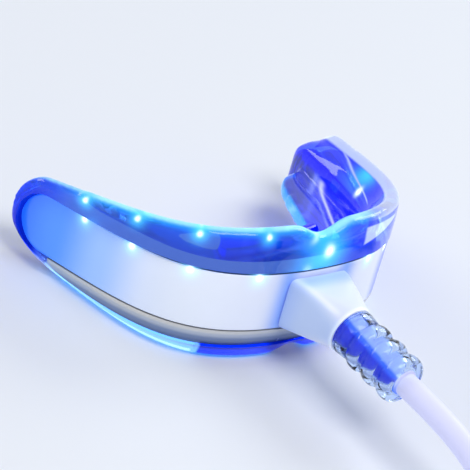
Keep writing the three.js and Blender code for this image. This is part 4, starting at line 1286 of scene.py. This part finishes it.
def jacket_color(tree):
    """Pale along the cord, and blue on the core toward the neck and on its lower side, as painted blue light
    and shade.
    """
    x, y, z = spot_in(tree)
    toward_neck = (y + 32.0) / 18.0
    low_side_blue_light = (neck_height - z) * 0.26 - x * 0.2
    share = (toward_neck * 0.5 + (low_side_blue_light + 0.12)) * step_up(toward_neck, 0.0, 0.15)
    return ramp(tree, share, (0.0, (0.64, 0.65, 0.90)), (0.12, (0.58, 0.64, 0.95)), (0.3, (0.06, 0.22, 0.95)),
                (0.6, (0.002, 0.03, 0.70)))


# The same colours also give the core and the cord a faint painted glow.
jacket = lit(finish("pale_cord_jacket", jacket_color, 0.36, 0.05, 0.1, 1600, 0.08, 0.12,
                    Specular_IOR_Level=0.3), jacket_color, 0.25)
boot_clear = finish("clear_boot_silicone", (0.56, 0.71, 1.0), 0.03, 0.06, 0.05, 700, 0.03, 0.03,
                    Transmission_Weight=1.0, IOR=1.3, Coat_Weight=0.3, Coat_Roughness=0.02)
finishes = {
    "board": finish("white_board", (0.72, 0.76, 0.86), 0.45, 0.05, 0.1, 1500, 0.06, 0.1),
    "led_lens": finish("lit_chip", (0.5, 0.85, 1.0), 0.2, 0.05, 0.05, 2000, 0.02, 0.02),
    "black_epoxy": finish("black_chip", (0.02, 0.02, 0.025), 0.4, 0.2, 0.15, 2500, 0.1, 0.1),
    "dark_ceramic": finish("dark_resistor", (0.05, 0.05, 0.055), 0.35, 0.2, 0.15, 2500, 0.08, 0.1),
    "grey_rubber": finish("grey_seal_rubber", (0.20, 0.21, 0.24), 0.65, 0.12, 0.1, 1800, 0.15, 0.1),
    "red_insulation": finish("red_wire", (0.55, 0.02, 0.02), 0.4, 0.1, 0.1, 1800, 0.06, 0.1),
    "black_insulation": finish("black_wire", (0.02, 0.02, 0.02), 0.4, 0.1, 0.1, 1800, 0.06, 0.1),
    "crimp_metal": finish("crimp_steel", (0.55, 0.56, 0.58), 0.35, 0.08, 0.15, 1500, 0.06, 0.15,
                          Metallic=1.0),
    "plug_plastic": finish("pale_plug_plastic", (0.66, 0.67, 0.80), 0.42, 0.05, 0.12, 1600, 0.1, 0.15),
    "shell_steel": finish("bright_shell_steel", (0.62, 0.63, 0.65), 0.28, 0.03, 0.06, 1200, 0.01, 0.03,
                          Metallic=1.0),
    "tongue_plastic": finish("white_tongue", (0.72, 0.72, 0.72), 0.45, 0.05, 0.1, 1600, 0.06, 0.1),
    "contact_gold": finish("gold_contact", (0.80, 0.58, 0.22), 0.25, 0.08, 0.15, 1500, 0.04, 0.2,
                           Metallic=1.0),
    "tie_rubber": finish("dark_strap_rubber", (0.025, 0.028, 0.035), 0.6, 0.15, 0.12, 1500, 0.15, 0.2),
}
chip = finishes["led_lens"].node_tree.nodes["Principled BSDF"]
chip.inputs["Emission Color"].default_value = (0.5, 0.85, 1.0, 1)
chip.inputs["Emission Strength"].default_value = 2.5


def dress(piece, material):
    if len(piece.material_slots) == 0:
        piece.data.materials.append(material)
    for held in piece.material_slots:
        held.material = material


for piece, material in (
    (tray, silicone), (cover, white), (window, clear), (bezel, grey), (neck, horn_white), (core, jacket),
    (boot, boot_clear), (cord, jacket), (plug_relief, finishes["plug_plastic"]),
    (plug_body, finishes["plug_plastic"]), (plug_shell, finishes["shell_steel"]),
    (tie, finishes["tie_rubber"]),
    (bpy.data.objects["wire_red_lead"], finishes["red_insulation"]),
    (bpy.data.objects["wire_black_lead"], finishes["black_insulation"]),
):
    dress(piece, material)
kept = {
    "led_board": "board", "driver_chip": "black_epoxy", "resistor_1": "dark_ceramic",
    "resistor_2": "dark_ceramic", "neck_seal": "grey_rubber", "cord_crimp": "crimp_metal",
    "plug_tongue": "tongue_plastic",
}
kept.update({f"plug_contact_{k}": "contact_gold" for k in range(1, 5)})
kept.update({f"led_{row}_{k}": "led_lens" for row in ("upper", "lower") for k in range(1, 10)})
for node_name, slot_name in kept.items():
    dress(nodes[node_name], finishes[slot_name])

# Floor, background and lights
BACKGROUND = (0.80, 0.84, 0.92, 1)


def seen_ray(tree):
    """1 for what the camera sees directly, in gloss or through clear parts."""
    ray = tree.nodes.new("ShaderNodeLightPath").outputs
    in_parts = calc(tree, "MAXIMUM", ray["Is Glossy Ray"], ray["Is Transmission Ray"])
    return calc(tree, "MAXIMUM", ray["Is Camera Ray"], in_parts)


deselect()
bpy.ops.mesh.primitive_grid_add(x_subdivisions=2, y_subdivisions=2, size=12, location=(0, 0, -0.0002))
floor = settle(named("floor"))
floor_finish = bpy.data.materials.new("pale_floor")
floor_finish.use_nodes = True
floor_tree = floor_finish.node_tree
floor_shader = floor_tree.nodes["Principled BSDF"]
floor_shader.inputs["Base Color"].default_value = (0.80, 0.82, 0.86, 1)
floor_shader.inputs["Roughness"].default_value = 0.7
# Far from the object the floor runs into the pale background
floor_x, floor_y, _ = spot_in(floor_tree)
reach = (floor_x * floor_x + floor_y * floor_y).calc("SQRT")
distant = floor_tree.nodes.new("ShaderNodeEmission")
distant.inputs["Color"].default_value = BACKGROUND
blend = floor_tree.nodes.new("ShaderNodeMixShader")
as_socket(floor_tree, step_up(reach, 220.0, 700.0) * seen_ray(floor_tree), blend.inputs[0])
floor_tree.links.new(floor_shader.outputs[0], blend.inputs[1])
floor_tree.links.new(distant.outputs[0], blend.inputs[2])
floor_tree.links.new(blend.outputs[0], floor_tree.nodes["Material Output"].inputs["Surface"])
dress(floor, floor_finish)

world = bpy.data.worlds.new("studio")
world.use_nodes = True
world.node_tree.nodes["Background"].inputs["Color"].default_value = BACKGROUND
sky = world.node_tree
as_socket(sky, seen_ray(sky) * 0.6 + 0.4, sky.nodes["Background"].inputs["Strength"])
bpy.context.scene.world = world


def softbox(name, at, size, power, color=(1, 1, 1)):
    light = bpy.data.lights.new(name, "AREA")
    light.shape = "RECTANGLE"
    light.size, light.size_y = size
    light.energy = power
    light.color = color
    lamp = bpy.data.objects.new(name, light)
    bpy.context.scene.collection.objects.link(lamp)
    lamp.location = at
    lamp.rotation_euler = (-Vector(at)).to_track_quat("-Z", "Y").to_euler()


softbox("key_softbox", (-0.05, -0.30, 0.60), (0.4, 0.3), 2.3)
softbox("side_softbox", (0.50, 0.05, 0.40), (0.3, 0.3), 1.3, (0.9, 0.95, 1.0))
softbox("back_softbox", (-0.30, 0.60, 0.35), (0.5, 0.2), 1.5)

bpy.context.scene.view_settings.view_transform = "Standard"
